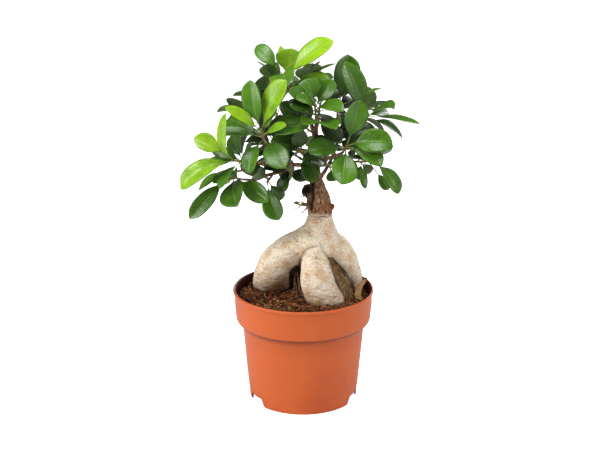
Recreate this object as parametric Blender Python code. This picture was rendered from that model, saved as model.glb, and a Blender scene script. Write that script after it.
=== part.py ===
"""Grafted fig bonsai in a round nursery pot.

Frame: metres, +Z up, +Y to the back, origin on the ground under the middle of the pot.
Positions in the tables are written in millimetres and turned into metres by MM.
"""

import math

import bmesh
import bpy
import numpy as np
from mathutils import Matrix, Vector
from mathutils.bvhtree import BVHTree

MM = 0.001

# ---- driving sizes, in millimetres -------------------------------------------------
POT_HEIGHT = 97.5
RIM_RADIUS = 60.0
COLLAR_RADIUS = 57.6
BODY_TOP_RADIUS = 52.0
FOOT_RADIUS = 46.2
WALL = 1.3
COLLAR_FOOT_Z = 71.5
BODY_TOP_Z = 65.0
FLOOR_UNDER_Z = 8.5
FLOOR_TOP_Z = 10.2
POT_SEGMENTS = 48

NOTCH_HEIGHT = 7.0
NOTCH_WIDTH_DEG = 29.0
NOTCH_CHAMFER_DEG = 5.0
NOTCH_AT_DEG = (-60.0, 69.5, 185.0)
DRAIN_WIDTH_DEG = 15.0

SOIL_LEVEL = 91.0
SOIL_MOUND = 1.6
FIT_GAP = 0.3

ROOT_SPREAD = 1.0
GRAFT_Z = 163.0
TRUNK_RADIUS = 10.0

LEAF_WIDTH = 1.0
LEAF_THICKNESS = 0.8
LEAF_ROOM = 0.45
STALK_RADIUS = 0.65
TWIG_SIDES = 6
CANOPY_SPREAD = 1.0
CANOPY_BASE_Z = 190.0
CANOPY_MIDDLE = (8.0, 8.0)

COLORS = {
    "pot": (0.72, 0.30, 0.14, 1.0),
    "soil": (0.09, 0.05, 0.03, 1.0),
    "root": (0.78, 0.66, 0.48, 1.0),
    "bark": (0.24, 0.14, 0.09, 1.0),
    "leaf_mature": (0.07, 0.22, 0.05, 1.0),
    "leaf_young": (0.26, 0.50, 0.04, 1.0),
}
ROUGHNESS = {"pot": 0.45, "soil": 0.95, "root": 0.6, "bark": 0.85, "leaf_mature": 0.3, "leaf_young": 0.35}


# ---- small helpers -----------------------------------------------------------------
def material(name):
    """One plain Principled material for each kind of stuff."""
    found = bpy.data.materials.get(name)
    if found:
        return found
    made = bpy.data.materials.new(name)
    made.use_nodes = True
    shader = made.node_tree.nodes["Principled BSDF"]
    shader.inputs["Base Color"].default_value = COLORS[name]
    shader.inputs["Roughness"].default_value = ROUGHNESS[name]
    made.diffuse_color = COLORS[name]
    return made


def mesh_object(name, vertices, faces, stuff=None, guide=False):
    """Object from points in millimetres; faces are made to point out."""
    mesh = bpy.data.meshes.new(name)
    mesh.from_pydata([tuple(c * MM for c in v) for v in vertices], [], faces)
    work = bmesh.new()
    work.from_mesh(mesh)
    bmesh.ops.recalc_face_normals(work, faces=work.faces)
    work.to_mesh(mesh)
    work.free()
    made = bpy.data.objects.new(name, mesh)
    bpy.context.scene.collection.objects.link(made)
    if stuff:
        mesh.materials.append(material(stuff))
    if guide:
        made.hide_render = True
        made.display_type = "WIRE"
    return made


def boolean(target, operation, tool, own_crossings=False):
    """Exact Boolean, kept as a modifier."""
    step = target.modifiers.new(operation.lower(), "BOOLEAN")
    step.operation = operation
    step.solver = "EXACT"
    step.object = tool
    step.use_self = own_crossings
    return step


def turned(profile, segments):
    """Vertices and faces of a closed (radius, height) profile turned about Z."""
    vertices = []
    rings = []
    for radius, height in profile:
        if radius < 1e-6:
            rings.append([len(vertices)])
            vertices.append((0.0, 0.0, height))
            continue
        rings.append(list(range(len(vertices), len(vertices) + segments)))
        for i in range(segments):
            a = 2 * math.pi * i / segments
            vertices.append((radius * math.sin(a), -radius * math.cos(a), height))
    faces = []
    pairs = list(zip(rings, rings[1:]))
    if len(rings[0]) > 1:
        pairs.append((rings[-1], rings[0]))
    for low, high in pairs:
        for i in range(segments):
            j = (i + 1) % segments
            if len(low) == 1 and len(high) == 1:
                continue
            if len(low) == 1:
                faces.append((low[0], high[j], high[i]))
            elif len(high) == 1:
                faces.append((low[i], low[j], high[0]))
            else:
                faces.append((low[i], low[j], high[j], high[i]))
    return vertices, faces


def loft(rings, cap_start=True, cap_end=True):
    """Vertices and faces of equal rings of points joined in order."""
    count = len(rings[0])
    vertices = [tuple(p) for ring in rings for p in ring]
    faces = []
    for r in range(len(rings) - 1):
        for i in range(count):
            j = (i + 1) % count
            a = r * count
            faces.append((a + i, a + j, a + count + j, a + count + i))
    if cap_start:
        faces.append(tuple(reversed(range(count))))
    if cap_end:
        last = (len(rings) - 1) * count
        faces.append(tuple(range(last, last + count)))
    return vertices, faces


def smooth_path(points, steps):
    """Catmull-Rom path through rows of numbers (position first, then sizes)."""
    rows = [np.array(p, float) for p in points]
    if len(rows) == 2:
        return [rows[0] + (rows[1] - rows[0]) * t for t in np.linspace(0, 1, steps + 1)]
    rows = [2 * rows[0] - rows[1]] + rows + [2 * rows[-1] - rows[-2]]
    path = []
    for i in range(1, len(rows) - 2):
        before, a, b, after = rows[i - 1 : i + 3]
        for t in np.linspace(0, 1, steps, endpoint=False):
            path.append(
                0.5
                * (
                    2 * a
                    + (b - before) * t
                    + (2 * before - 5 * a + 4 * b - after) * t**2
                    + (3 * a - before - 3 * b + after) * t**3
                )
            )
    path.append(rows[-2])
    return path


def tube(points, sides, steps=3, grow=0.0, tip=False):
    """Round tube through (x, y, z, radius) rows; the frame is carried along the path."""
    path = smooth_path(points, steps)
    rings = []
    side = None
    for k, row in enumerate(path):
        ahead = path[min(k + 1, len(path) - 1)][:3] - path[max(k - 1, 0)][:3]
        ahead = Vector(ahead).normalized()
        if side is None:
            side = ahead.cross(Vector((0.31, 0.22, 0.93))).normalized()
        side = (side - ahead * side.dot(ahead)).normalized()
        other = ahead.cross(side)
        radius = row[3] + grow
        middle = Vector(row[:3])
        if grow and k == 0:
            middle = middle - ahead * grow
        if grow and k == len(path) - 1:
            middle = middle + ahead * grow
        rings.append(
            [
                middle + (side * math.cos(a) + other * math.sin(a)) * radius
                for a in (2 * math.pi * i / sides for i in range(sides))
            ]
        )
    vertices, faces = loft(rings, cap_end=not tip)
    if tip:
        ahead = Vector(path[-1][:3] - path[-2][:3]).normalized()
        vertices.append(tuple(Vector(path[-1][:3]) + ahead * path[-1][3] * 2.2))
        last = (len(rings) - 1) * sides
        faces += [(last + i, last + (i + 1) % sides, len(vertices) - 1) for i in range(sides)]
    return vertices, faces


# ---- pot and soil ------------------------------------------------------------------
def pot_profile():
    """Outer and inner wall of the moulded cup, as (radius, height)."""
    return [
        (0.0, FLOOR_UNDER_Z),
        (FOOT_RADIUS - WALL, FLOOR_UNDER_Z),
        (FOOT_RADIUS - WALL - 0.2, 0.0),
        (FOOT_RADIUS - 0.3, 0.0),
        (FOOT_RADIUS, 0.4),
        (FOOT_RADIUS + 0.75, 10.6),
        (FOOT_RADIUS + 1.15, 11.2),
        (BODY_TOP_RADIUS - 2.2, 40.0),
        (BODY_TOP_RADIUS, BODY_TOP_Z),
        (COLLAR_RADIUS - 1.2, COLLAR_FOOT_Z - 1.4),
        (COLLAR_RADIUS - 0.1, COLLAR_FOOT_Z + 0.6),
        (RIM_RADIUS - 1.3, POT_HEIGHT - 3.4),
        (RIM_RADIUS - 0.2, POT_HEIGHT - 2.4),
        (RIM_RADIUS, POT_HEIGHT - 1.2),
        (RIM_RADIUS - 0.35, POT_HEIGHT - 0.3),
        (RIM_RADIUS - 1.0, POT_HEIGHT),
        (RIM_RADIUS - 1.9, POT_HEIGHT - 0.4),
        (RIM_RADIUS - 2.5, POT_HEIGHT - 2.0),
        (COLLAR_RADIUS - WALL - 0.3, COLLAR_FOOT_Z + 2.0),
        (BODY_TOP_RADIUS - WALL, BODY_TOP_Z + 1.5),
        (BODY_TOP_RADIUS - 2.2 - WALL, 40.0),
        (FOOT_RADIUS + 1.15 - WALL, FLOOR_TOP_Z + 1.2),
        (FOOT_RADIUS - WALL, FLOOR_TOP_Z),
        (0.0, FLOOR_TOP_Z),
    ]


def wedge(name, centre_deg, half_low, half_high, radii, heights):
    """Cutter with slanted sides, standing on an arc of the foot."""
    rings = []
    for height, half in zip(heights, (half_low, half_high)):
        ring = []
        for radius, ways in ((radii[0], (-1, 1)), (radii[1], (1, -1))):
            for way in ways:
                a = math.radians(centre_deg + way * half)
                ring.append((radius * math.sin(a), -radius * math.cos(a), height))
        rings.append(ring)
    vertices, faces = loft(rings)
    return mesh_object(name, vertices, faces, guide=True)


def build_pot():
    """Turned cup with foot notches and drain openings cut out."""
    vertices, faces = turned(pot_profile(), POT_SEGMENTS)
    pot = mesh_object("pot", vertices, faces, "pot")
    half = NOTCH_WIDTH_DEG / 2
    for number, at in enumerate(NOTCH_AT_DEG):
        notch = wedge(
            f"cut_notch_{number}",
            at,
            half + 0.6,
            half - NOTCH_CHAMFER_DEG,
            (FOOT_RADIUS - 9, FOOT_RADIUS + 9),
            (-1.0, NOTCH_HEIGHT),
        )
        boolean(pot, "DIFFERENCE", notch)
        drain = wedge(
            f"cut_drain_{number}",
            at,
            DRAIN_WIDTH_DEG / 2,
            DRAIN_WIDTH_DEG / 2,
            (FOOT_RADIUS - 8, FOOT_RADIUS - 2.2),
            (NOTCH_HEIGHT - 1, FLOOR_TOP_Z + 1),
        )
        boolean(pot, "DIFFERENCE", drain)
    return pot


def soil_profile():
    """Peat fill, a clear fit inside the pot, slightly mounded."""
    g = FIT_GAP
    top = SOIL_LEVEL - SOIL_MOUND * 0.7
    share = (top - COLLAR_FOOT_Z - 2.0) / (POT_HEIGHT - 2.0 - COLLAR_FOOT_Z - 2.0)
    collar_inside = COLLAR_RADIUS - WALL - 0.3
    edge = collar_inside + (RIM_RADIUS - 2.5 - collar_inside) * share
    return [
        (0.0, FLOOR_TOP_Z + g),
        (FOOT_RADIUS - WALL - g - 0.3, FLOOR_TOP_Z + g),
        (FOOT_RADIUS + 1.15 - WALL - g, FLOOR_TOP_Z + 1.2 + 2 * g),
        (BODY_TOP_RADIUS - 2.2 - WALL - g, 40.0),
        (BODY_TOP_RADIUS - WALL - g, BODY_TOP_Z + 1.5),
        (collar_inside - g, COLLAR_FOOT_Z + 2.0),
        (edge - g - 0.1, top),
        (edge - 9.0, SOIL_LEVEL - SOIL_MOUND * 0.2),
        (edge - 21.0, SOIL_LEVEL + SOIL_MOUND * 0.1),
        (edge - 33.0, SOIL_LEVEL),
        (0.0, SOIL_LEVEL),
    ]


def build_soil(root_guide):
    """Turned fill with the root body's bed cut out."""
    segments = 36
    vertices, faces = turned(soil_profile(), segments)
    edge = max(radius for radius, _ in soil_profile())
    rough = []
    for x, y, z in vertices:
        if z > SOIL_LEVEL - SOIL_MOUND and 1 < math.hypot(x, y) < edge - 5:
            z += 0.7 * math.sin(x * 0.33 + 1.0) * math.cos(y * 0.29) + 0.35 * math.sin((x - y) * 0.9)
        rough.append((x, y, z))
    soil = mesh_object("soil", rough, faces, "soil")
    boolean(soil, "DIFFERENCE", root_guide)
    return soil


# ---- root body ---------------------------------------------------------------------
# Rows are (x, y, z, half width in x, half depth in y) from the crown of the leg down.
ROOT_LEGS = {
    "neck": [(14, 0, 169, 9.5, 9), (14, 0, 160, 10.8, 10.5), (13.5, 1, 152, 14, 15),
             (10, 2, 144, 20, 20), (8, 3, 132, 24, 22)],
    "left": [(6, 0, 149, 9, 11), (-7, 2, 138.5, 16, 17), (-15.5, 5, 126.5, 19.5, 19),
             (-21, 9, 113, 19.5, 18), (-25, 14, 101, 18.5, 16),
             (-27.5, 19, 91, 16, 13.5), (-28, 22, 80, 12, 10), (-28, 24, 68, 8, 7),
             (-27, 24, 58, 4, 4)],
    "right": [(14, 2, 149, 10, 11), (22, 3, 140, 14.5, 16), (28, 5, 130, 15, 17),
              (34, 8, 119, 13.5, 15), (39.5, 10, 109, 10.5, 12),
              (43, 12, 99, 8, 9.5), (44.5, 13, 88, 5.5, 8), (44, 13, 74, 4.5, 6), (43, 13, 60, 3, 4)],
    "front": [(8, -3, 144, 7, 7), (9, -9, 137.5, 8.5, 8), (10, -14, 129, 11.5, 9.5),
              (11, -16, 118, 13.6, 11), (12.5, -17, 107, 15.2, 12),
              (16.5, -17, 97, 16.8, 12.5), (20.5, -16.5, 88, 17, 12), (22, -15, 78, 14, 10),
              (21, -13, 66, 8, 6), (21, -12, 57, 4, 3.5)],
    "back_left": [(5, 8, 142, 12, 12), (-4, 17, 128, 15, 14), (-9, 24, 112, 14, 13),
                  (-12, 28, 98, 11.5, 11), (-13, 30, 84, 8, 8), (-13, 30, 66, 4, 4)],
    "back_right": [(12, 8, 142, 12, 12), (20, 16, 128, 14, 14), (25, 22, 112, 12, 13),
                   (27, 25, 98, 10, 11), (28, 26, 84, 7, 8), (28, 26, 66, 4, 4)],
    "inner": [(18, 6, 136, 8, 8), (25, 6, 122, 7, 8), (30, 4, 108, 7, 7.5), (34, 2, 96, 6, 7),
              (35.5, 1, 84, 5, 6), (35.5, 1, 70, 3.5, 4)],
}


def root_room(z):
    """How far from the pot's middle a root may reach at a height: clear of the wall in the pot."""
    inner = [row for row in pot_profile()[18:] if row[0] > 1][::-1]
    if z > POT_HEIGHT + 4:
        return 1000.0
    return float(np.interp(z, [row[1] for row in inner], [row[0] for row in inner])) - 3.5


def build_root_body(name, grow):
    """Swollen legs lofted one by one, grown together, smoothed and thinned."""
    vertices = []
    faces = []
    for rows in ROOT_LEGS.values():
        rings = []
        for row in smooth_path(rows, 4):
            x, y, z, half_x, half_y = row
            ring = []
            for i in range(24):
                a = 2 * math.pi * i / 24
                across = x * ROOT_SPREAD + half_x * math.cos(a)
                deep = y * ROOT_SPREAD + half_y * math.sin(a)
                pull = min(1.0, root_room(z) / max(math.hypot(across, deep), 1.0))
                ring.append((across * pull, deep * pull, z))
            rings.append(ring)
        more, joined = loft(rings)
        faces += [tuple(i + len(vertices) for i in face) for face in joined]
        vertices += more
    body = mesh_object(name, vertices, faces, "root", guide=bool(grow))
    remesh = body.modifiers.new("grow together", "REMESH")
    remesh.mode = "VOXEL"
    remesh.voxel_size = 1.4 * MM
    smooth = body.modifiers.new("smooth", "SMOOTH")
    smooth.factor = 0.5
    smooth.iterations = 9
    thin = body.modifiers.new("thin", "DECIMATE")
    thin.ratio = 0.045
    square = ((-40, -40), (70, -40), (70, 40), (-40, 40))
    block = loft([[(x, y, z) for x, y in square] for z in (GRAFT_Z, GRAFT_Z + 30)])
    top = mesh_object(name + "_graft_cut", *block, guide=True)
    boolean(body, "DIFFERENCE", top)
    if grow:
        swell = body.modifiers.new("swell", "DISPLACE")
        swell.strength = grow * MM
        swell.mid_level = 0.0
    return body


# ---- wood --------------------------------------------------------------------------
# Trunk and boughs as (x, y, z, radius); each bough starts inside its parent.
TRUNK = [(14, 0, GRAFT_Z - 1.5, 8.6), (13.9, 0, GRAFT_Z + 1.0, 10.2), (13.2, 0, 169, 10.4),
         (12.2, 0.5, 177, 9.6), (11.8, 1.0, 184, 7.9),
         (11.4, 1.2, 190, 5.6), (11.2, 0.8, 195, 3.8), (11.1, 0, 202, 2.9), (11.0, -1, 212, 2.4),
         (10.6, -3, 226, 2.0), (10.4, -8, 240, 1.7), (10.6, -16, 251, 1.4)]
STUB = [(11, 0, 179, 5.0), (6, -4.5, 183, 5.7), (3.2, -8.4, 186.4, 5.3)]
KNOB = [(17, -1, 169, 4.2), (23.6, -2, 169.6, 3.0), (26, -2.4, 169.8, 1.2)]
BOUGHS = {
    "bough_left_low": ("scion_trunk", [(12, 1, 189, 1.9), (2, 3, 193, 1.9), (-14, 1, 199, 1.6),
    (-30, -5, 198, 1.5), (-43, -14, 196, 1.3)]),
    "bough_left": ("scion_trunk", [(11, -0.5, 205, 2.0), (-4, -6, 207, 1.9), (-22, -14, 210, 1.6),
    (-40, -24, 214, 1.4)]),
    "bough_left_front": ("scion_trunk", [(11, -1.5, 216, 1.9), (-4, -10, 221, 1.8),
    (-20, -22, 226, 1.6), (-31, -33, 231, 1.4)]),
    "bough_crown": ("scion_trunk", [(10.6, -5, 231, 1.9), (5, 0, 243, 1.8), (-3, 4, 256, 1.6),
    (-10, 4, 268, 1.4)]),
    "bough_right": ("scion_trunk", [(11, -2, 221, 1.9), (22, 4, 230, 1.8), (36, 5, 239, 1.6),
    (46, 2, 244, 1.3)]),
    "bough_right_front": ("scion_trunk", [(11.2, -0.6, 209, 1.9), (19, -9, 213, 1.7),
    (28, -20, 219, 1.5), (32, -30, 224, 1.3)]),
    "bough_back_left": ("scion_trunk", [(11.2, -0.4, 203, 2.0), (0, 12, 212, 1.9),
    (-16, 26, 222, 1.6), (-28, 36, 230, 1.3)]),
    "bough_back_right": ("scion_trunk", [(11.0, -1, 213, 2.0), (20, 12, 221, 1.8),
    (31, 25, 229, 1.6), (38, 34, 235, 1.3)]),
    "bough_back": ("scion_trunk", [(10.8, -2, 220, 1.9), (8, 13, 231, 1.8), (5, 28, 241, 1.6),
    (3, 40, 248, 1.3)]),
    "bough_back_low": ("scion_trunk", [(12, 1.2, 190, 1.9), (18, 14, 196, 1.8), (24, 29, 203, 1.5),
    (27, 40, 208, 1.3)]),
}

# Leafy shoots: parent, start of the twig on the parent, twig apex, age, then leaves as
# (tip x, tip y, tip z, blade width, roll in degrees, arch, stalk). Negative arch bends the blade inward.
SHOOTS = {
    "shoot_crown": ("bough_crown", (-8, 4, 264), (-14, -5, 281), "leaf_young", [
        (24, -10, 310, 20, 0, .08), (-9, 2, 302, 25, 60, -.03), (-11.5, -32, 278, 23, 0, .3),
        (-38, 0, 304.5, 13, 0, .25, 18),
        (-19, 10, 303, 10, 0, -.08), (21.5, -16, 279.5, 14, 0, .1)]),
    "shoot_crown_left": ("bough_crown", (-9, 4, 266), (-20, 0, 276), "leaf_mature", [
        (-38, 14, 289, 9, 70, .04), (-33, -13, 290, 13, 0, .05), (-27, -16, 278, 12, 0, .05),
        (-28, 34, 280, 16, 0, .1)]),
    "shoot_crown_right": ("bough_crown", (-7, 4, 262), (1, 3, 276), "leaf_mature", [
        (14, 18, 288, 7, 0, .06), (27, 22, 286, 7, 0, .06), (17, -2, 280.5, 12, 20, .1),
        (6, 34, 282, 17, 0, .1), (24, 8, 262, 15, 0, .1)]),
    "shoot_upper_right": ("bough_right", (27, 4.5, 233), (29, 6, 257), "leaf_mature", [
        (36, 3, 297, 23, -70, .05), (64, 6, 268.5, 9, 0, .03), (45, 14, 262, 9, 60, .1), (44, 26, 254, 16, 0, .1),
        (16, 30, 264, 17, 0, .1)]),
    "shoot_right": ("bough_right", (44, 2.6, 243.5), (53, -4, 249), "leaf_mature", [
        (32.5, -17, 294.5, 18, -60, .06), (74, -16, 258, 20, 25, .05), (95.5, -5, 241, 12, 0, .03),
        (82, 5, 226.5, 17, 0, .07),
        (74, 28, 240, 16, 0, .1)]),
    "shoot_right_front": ("bough_right_front", (31, -28, 223), (34.5, -45, 234), "leaf_mature", [
        (44, -47, 270, 19, 0, .04), (70, -52, 237, 20, 25, .2), (61, -63, 221, 18, 0, .1),
        (30, -63, 206, 22, 0, .1),
        (3, -56, 231, 18, 0, .1), (72, -30, 229, 12, 40, .15)]),
    "shoot_right_low": ("bough_right_front", (22, -12.5, 214.5), (57, -28, 216), "leaf_mature", [
        (77, -36, 191, 13, 30, .18), (69, -31, 193, 9, 55, .14, 18), (50, -38, 195.5, 7, 65, .12),
        (45, -28, 200, 8, 60, .08), (56, -16, 204, 8, 60, .08),
        (60, 0, 216, 17, 0, .1), (36, -22, 222, 14, 0, .1)]),
    "shoot_centre_low_right": ("bough_right_front", (16, -6, 211.5), (22, -22, 209), "leaf_mature", [
        (25, -24, 198, 11, 30, .08), (-1, -50, 222, 15, 0, .1), (33, -6, 200, 14, 30, .1)]),
    "shoot_centre": ("scion_trunk", (10.5, -12, 246), (9, -34, 265), "leaf_mature", [
        (2, -27, 283, 19, 0, .08), (-12, -46, 276, 15, 0, .08), (23.5, -26, 282, 17, 0, .08),
        (-6, -62, 275, 12, 0, .1),
        (31, -52, 262, 16, 0, .16), (31, -33, 234, 14, 40, .12)]),
    "shoot_centre_front": ("scion_trunk", (10.4, -7, 239), (12.5, -42, 255), "leaf_mature", [
        (-11, -52, 266, 15, 0, .1), (-1, -62, 254, 13, 0, .08), (25, -63, 255, 17, 0, .1)]),
    "shoot_centre_left": ("bough_left_front", (-6, -11, 221.5), (0, -38, 227), "leaf_mature", [
        (-26, -44, 236, 18, 0, .08), (-5, -44, 245, 14, 0, .05), (8.5, -46, 203, 14, 0, .08),
        (-22, -26, 214, 16, 0, .1), (-30, -28, 222, 14, 0, .1)]),
    "shoot_left_front": ("bough_left_front", (-29, -31, 230), (-33.5, -45, 245), "leaf_young", [
        (-13, -54, 287, 22, 0, .05), (-41.5, -43, 285, 18, 0, .05), (-61, -52, 265, 11, 0, .1),
        (-20, -51, 264, 9, 0, .05),
        (-13, -62, 253, 10, 0, .05), (4.5, -56, 251, 20, 0, .12), (-61, -15, 248, 19, 0, .1),
        (-67, -50, 243.5, 14, 0, .08), (-43, -48, 211.5, 17, 0, .12),
        (-14, -66, 220, 20, 0, .1)]),
    "shoot_left": ("bough_left", (-38, -23, 213.5), (-56, -35, 218.5), "leaf_young", [
        (-87, -35, 237, 16, 0, .05, 15), (-60, -45, 262, 11, 45, .2), (-98.5, -40, 196, 17, -30, .26),
        (-41, -60, 234, 11, 10, -.1),
        (-74, -13, 208, 12, 0, .1), (-65.5, -52, 199.5, 14, 0, .1), (-57, -8, 234, 15, 0, .05),
        (-74, -38, 226, 12, 0, .1), (-78, -30, 214, 11, 0, .1)]),
    "shoot_left_tail": ("bough_left", (-33, -20, 212.5), (-59, -33, 207.5), "leaf_mature", [
        (-91, -50, 174, 14, -50, .03, 12), (-85, -27, 191, 12, 0, .1), (-72, -44, 205, 11, 0, .1)]),
    "shoot_left_low": ("bough_left_low", (-40, -12, 196.5), (-57, -20, 200), "leaf_mature", [
        (-52, -56, 186, 24, 0, .1), (-28, -46, 187, 16, 0, .08), (-59, 0, 196, 15, 0, .1),
        (-62, 16, 186, 15, 0, .1)]),
    "shoot_left_low_inner": ("bough_left_low", (-24, -3, 198.7), (-30, -12, 194), "leaf_mature", [
        (-19.5, -27, 166, 18, 0, .1), (-19, -8, 177, 13, -50, .1), (-38, -30, 206, 13, 0, .1),
        (-36, 18, 192, 16, 0, .1), (-52, -4, 208, 14, 0, .1)]),
    "shoot_left_low_near": ("bough_left_low", (-8, 2, 196.5), (-11, -12, 205), "leaf_mature", [
        (-16, -21, 197, 8, 0, .08), (-17, -18, 187, 13, 0, .1), (-23, -30, 206, 11, 0, .05), (2, -26, 199, 10, 10, .1),
        (-2, 12, 188, 12, 0, .1), (-26, -4, 216, 16, 0, .1),
        (-32, 6, 204, 15, 0, .1), (-36, -18, 212, 13, 0, .1)]),
    "shoot_trunk_bud": ("scion_trunk", (9, -2, 172), (-1, -5, 173.5), "leaf_young", [
        (-8, -8, 175, 3, 0, .05)]),
    "shoot_inside_left": ("bough_left", (-14, -10, 208.3), (-24, 4, 224), "leaf_mature", [
        (-54, 2, 232, 20, 0, .1), (-30, -8, 258, 19, 0, .1), (-48, 16, 222, 18, 0, .1),
        (-18, 22, 244, 18, 0, .1), (-46, -14, 224, 16, 0, .1),
        (2, -6, 234, 17, 0, .1), (-2, 6, 208, 15, 0, .1),
        (-44, 2, 208, 15, 0, .1)]),
    "shoot_inside_right": ("bough_right", (18, 1.5, 227), (30, -8, 226), "leaf_mature", [
        (60, -6, 236, 19, 0, .1), (48, 16, 214, 18, 0, .1), (30, -18, 252, 17, 0, .1),
        (50, -24, 224, 17, 0, .1), (22, -28, 226, 15, 0, .1),
        (40, -14, 242, 15, 0, .1), (8, 10, 226, 16, 0, .1)]),
    "shoot_inside_front": ("scion_trunk", (10.4, -7, 233), (0, -22, 244), "leaf_mature", [
        (-19, -26, 263, 14, 0, .1), (4, -22, 263, 13, 0, .1), (-22, -18, 246, 14, 0, .1),
        (-4, -16, 228, 13, 0, .1)]),
    "shoot_inside_high": ("scion_trunk", (10.5, -8, 240), (14, 8, 256), "leaf_mature", [
        (-12, -6, 268, 18, 0, .1), (20, -10, 270, 17, 0, .1), (38, 16, 266, 18, 0, .1),
        (-8, 26, 256, 18, 0, .1), (34, -10, 248, 16, 0, .1), (-16, -4, 254, 17, 0, .1),
        (16, 24, 238, 18, 0, .1), (-4, 20, 238, 17, 0, .1)]),
    "shoot_inside_low": ("scion_trunk", (11, -0.3, 206), (24, 2, 206), "leaf_mature", [
        (52, -6, 210, 18, 0, .1), (36, -18, 196, 15, 0, .1), (40, 22, 200, 17, 0, .1)]),
    "shoot_back_left_high": ("bough_back_left", (-14, 24.5, 221), (-26, 34, 250), "leaf_mature", [
        (-34, 30, 274, 19, 0, .1), (-60, 36, 256, 20, 0, .1), (-32, 68, 262, 20, 0, .1),
        (-4, 52, 264, 18, 0, .1), (-42, 10, 262, 18, 0, .1), (-64, 14, 258, 9, 60, .15)]),
    "shoot_back_left": ("bough_back_left", (-27, 35, 229.5), (-40, 42, 236), "leaf_mature", [
        (-74, 44, 240, 20, 0, .1), (-52, 67, 236, 20, 0, .12), (-52, 32, 206, 19, 0, .12),
        (-66, 18, 224, 18, 0, .1), (-28, 64, 215, 19, 0, .1)]),
    "shoot_back_middle": ("bough_back", (4, 36, 246), (2, 48, 254), "leaf_mature", [
        (10, 30, 284, 17, 0, .1), (26, 63, 266, 20, 0, .1), (-12, 64, 264, 20, 0, .1),
        (2, 65, 238, 20, 0, .12), (36, 48, 258, 18, 0, .1)]),
    "shoot_back_right": ("bough_back_right", (36, 32, 233.5), (46, 40, 241), "leaf_mature", [
        (56, 44, 262, 18, 0, .1), (78, 38, 244, 19, 0, .12), (60, 68, 236, 20, 0, .12),
        (70, 22, 222, 19, 0, .12), (34, 62, 222, 19, 0, .1),
        (44, 12, 240, 18, 0, .1)]),
    "shoot_back_low": ("bough_back_low", (25, 33, 204.5), (27, 46, 208), "leaf_mature", [
        (56, 52, 206, 20, 0, .12), (30, 67, 200, 20, 0, .12), (2, 62, 206, 19, 0, .12),
        (38, 34, 188, 18, 0, .12), (8, 44, 190, 17, 0, .1)]),
    "shoot_back_low_left": ("bough_back_left", (-4, 15, 214.7), (-16, 30, 206), "leaf_mature", [
        (-44, 40, 202, 20, 0, .12), (-24, 62, 194, 20, 0, .12), (-42, 8, 210, 18, 0, .12),
        (-12, 34, 182, 17, 0, .12)]),
}


def spread(point):
    """Canopy position with the overall spread applied about the trunk."""
    x, y, z = point[:3]
    if z < CANOPY_BASE_Z:
        return Vector((x * CANOPY_SPREAD, y * CANOPY_SPREAD, z))
    height = CANOPY_BASE_Z + (z - CANOPY_BASE_Z) * CANOPY_SPREAD
    return Vector((x * CANOPY_SPREAD, y * CANOPY_SPREAD, height))


def grown(rows):
    """Rows of (x, y, z, radius) with the canopy spread applied."""
    return [(*spread(row), row[3]) for row in rows]


def build_trunk(root_guide):
    """Stump, leader and sawn stub as one grown piece."""
    rows = [(x, y, z, r * TRUNK_RADIUS / 10.0) for x, y, z, r in TRUNK]
    trunk = mesh_object("scion_trunk", *tube(rows, 14, 3), "bark")
    stub = mesh_object("trunk_stub", *tube(STUB, 12, 2), guide=True)
    knob = mesh_object("trunk_knob", *tube(KNOB, 8, 2), guide=True)
    boolean(trunk, "UNION", stub)
    boolean(trunk, "UNION", knob)
    boolean(trunk, "DIFFERENCE", root_guide)
    sleeve = mesh_object("sleeve_scion_trunk", *tube(rows, 14, 3, grow=FIT_GAP + 0.05), guide=True)
    return stub, {"scion_trunk": sleeve}, {"scion_trunk": rows}


def build_boughs(sleeves, wood):
    """Woody boughs, each cut back so that it just rests on its parent."""
    for name, (parent, rows) in BOUGHS.items():
        rows = grown(rows)
        base = nearest_row(wood[parent], rows[0][:3])
        rows[0] = (*base[:3], min(rows[0][3], 0.6 * base[3]))
        bough = mesh_object(name, *tube(rows, 7, 2), "bark")
        boolean(bough, "DIFFERENCE", sleeves[parent])
        sleeves[name] = mesh_object("sleeve_" + name, *tube(rows, 7, 2, grow=FIT_GAP), guide=True)
        wood[name] = rows


# ---- leaves ------------------------------------------------------------------------
BLADE_STATIONS = ((0.0, 0.08), (0.27, 0.70), (0.60, 1.0), (0.87, 0.68))
BLADE_FOLD = 0.16


def facing(node, tip, axis):
    """The way a leaf turns its upper side: to the sky, outward and a little to its shoot's end."""
    out = (Vector(node) + Vector(tip)) / 2 - Vector((CANOPY_MIDDLE[0], CANOPY_MIDDLE[1], 0))
    out.z = 0.0
    out.normalize()
    return (Vector((0, 0, 0.75)) + out * 0.75 + axis * 0.3).normalized()


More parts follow.
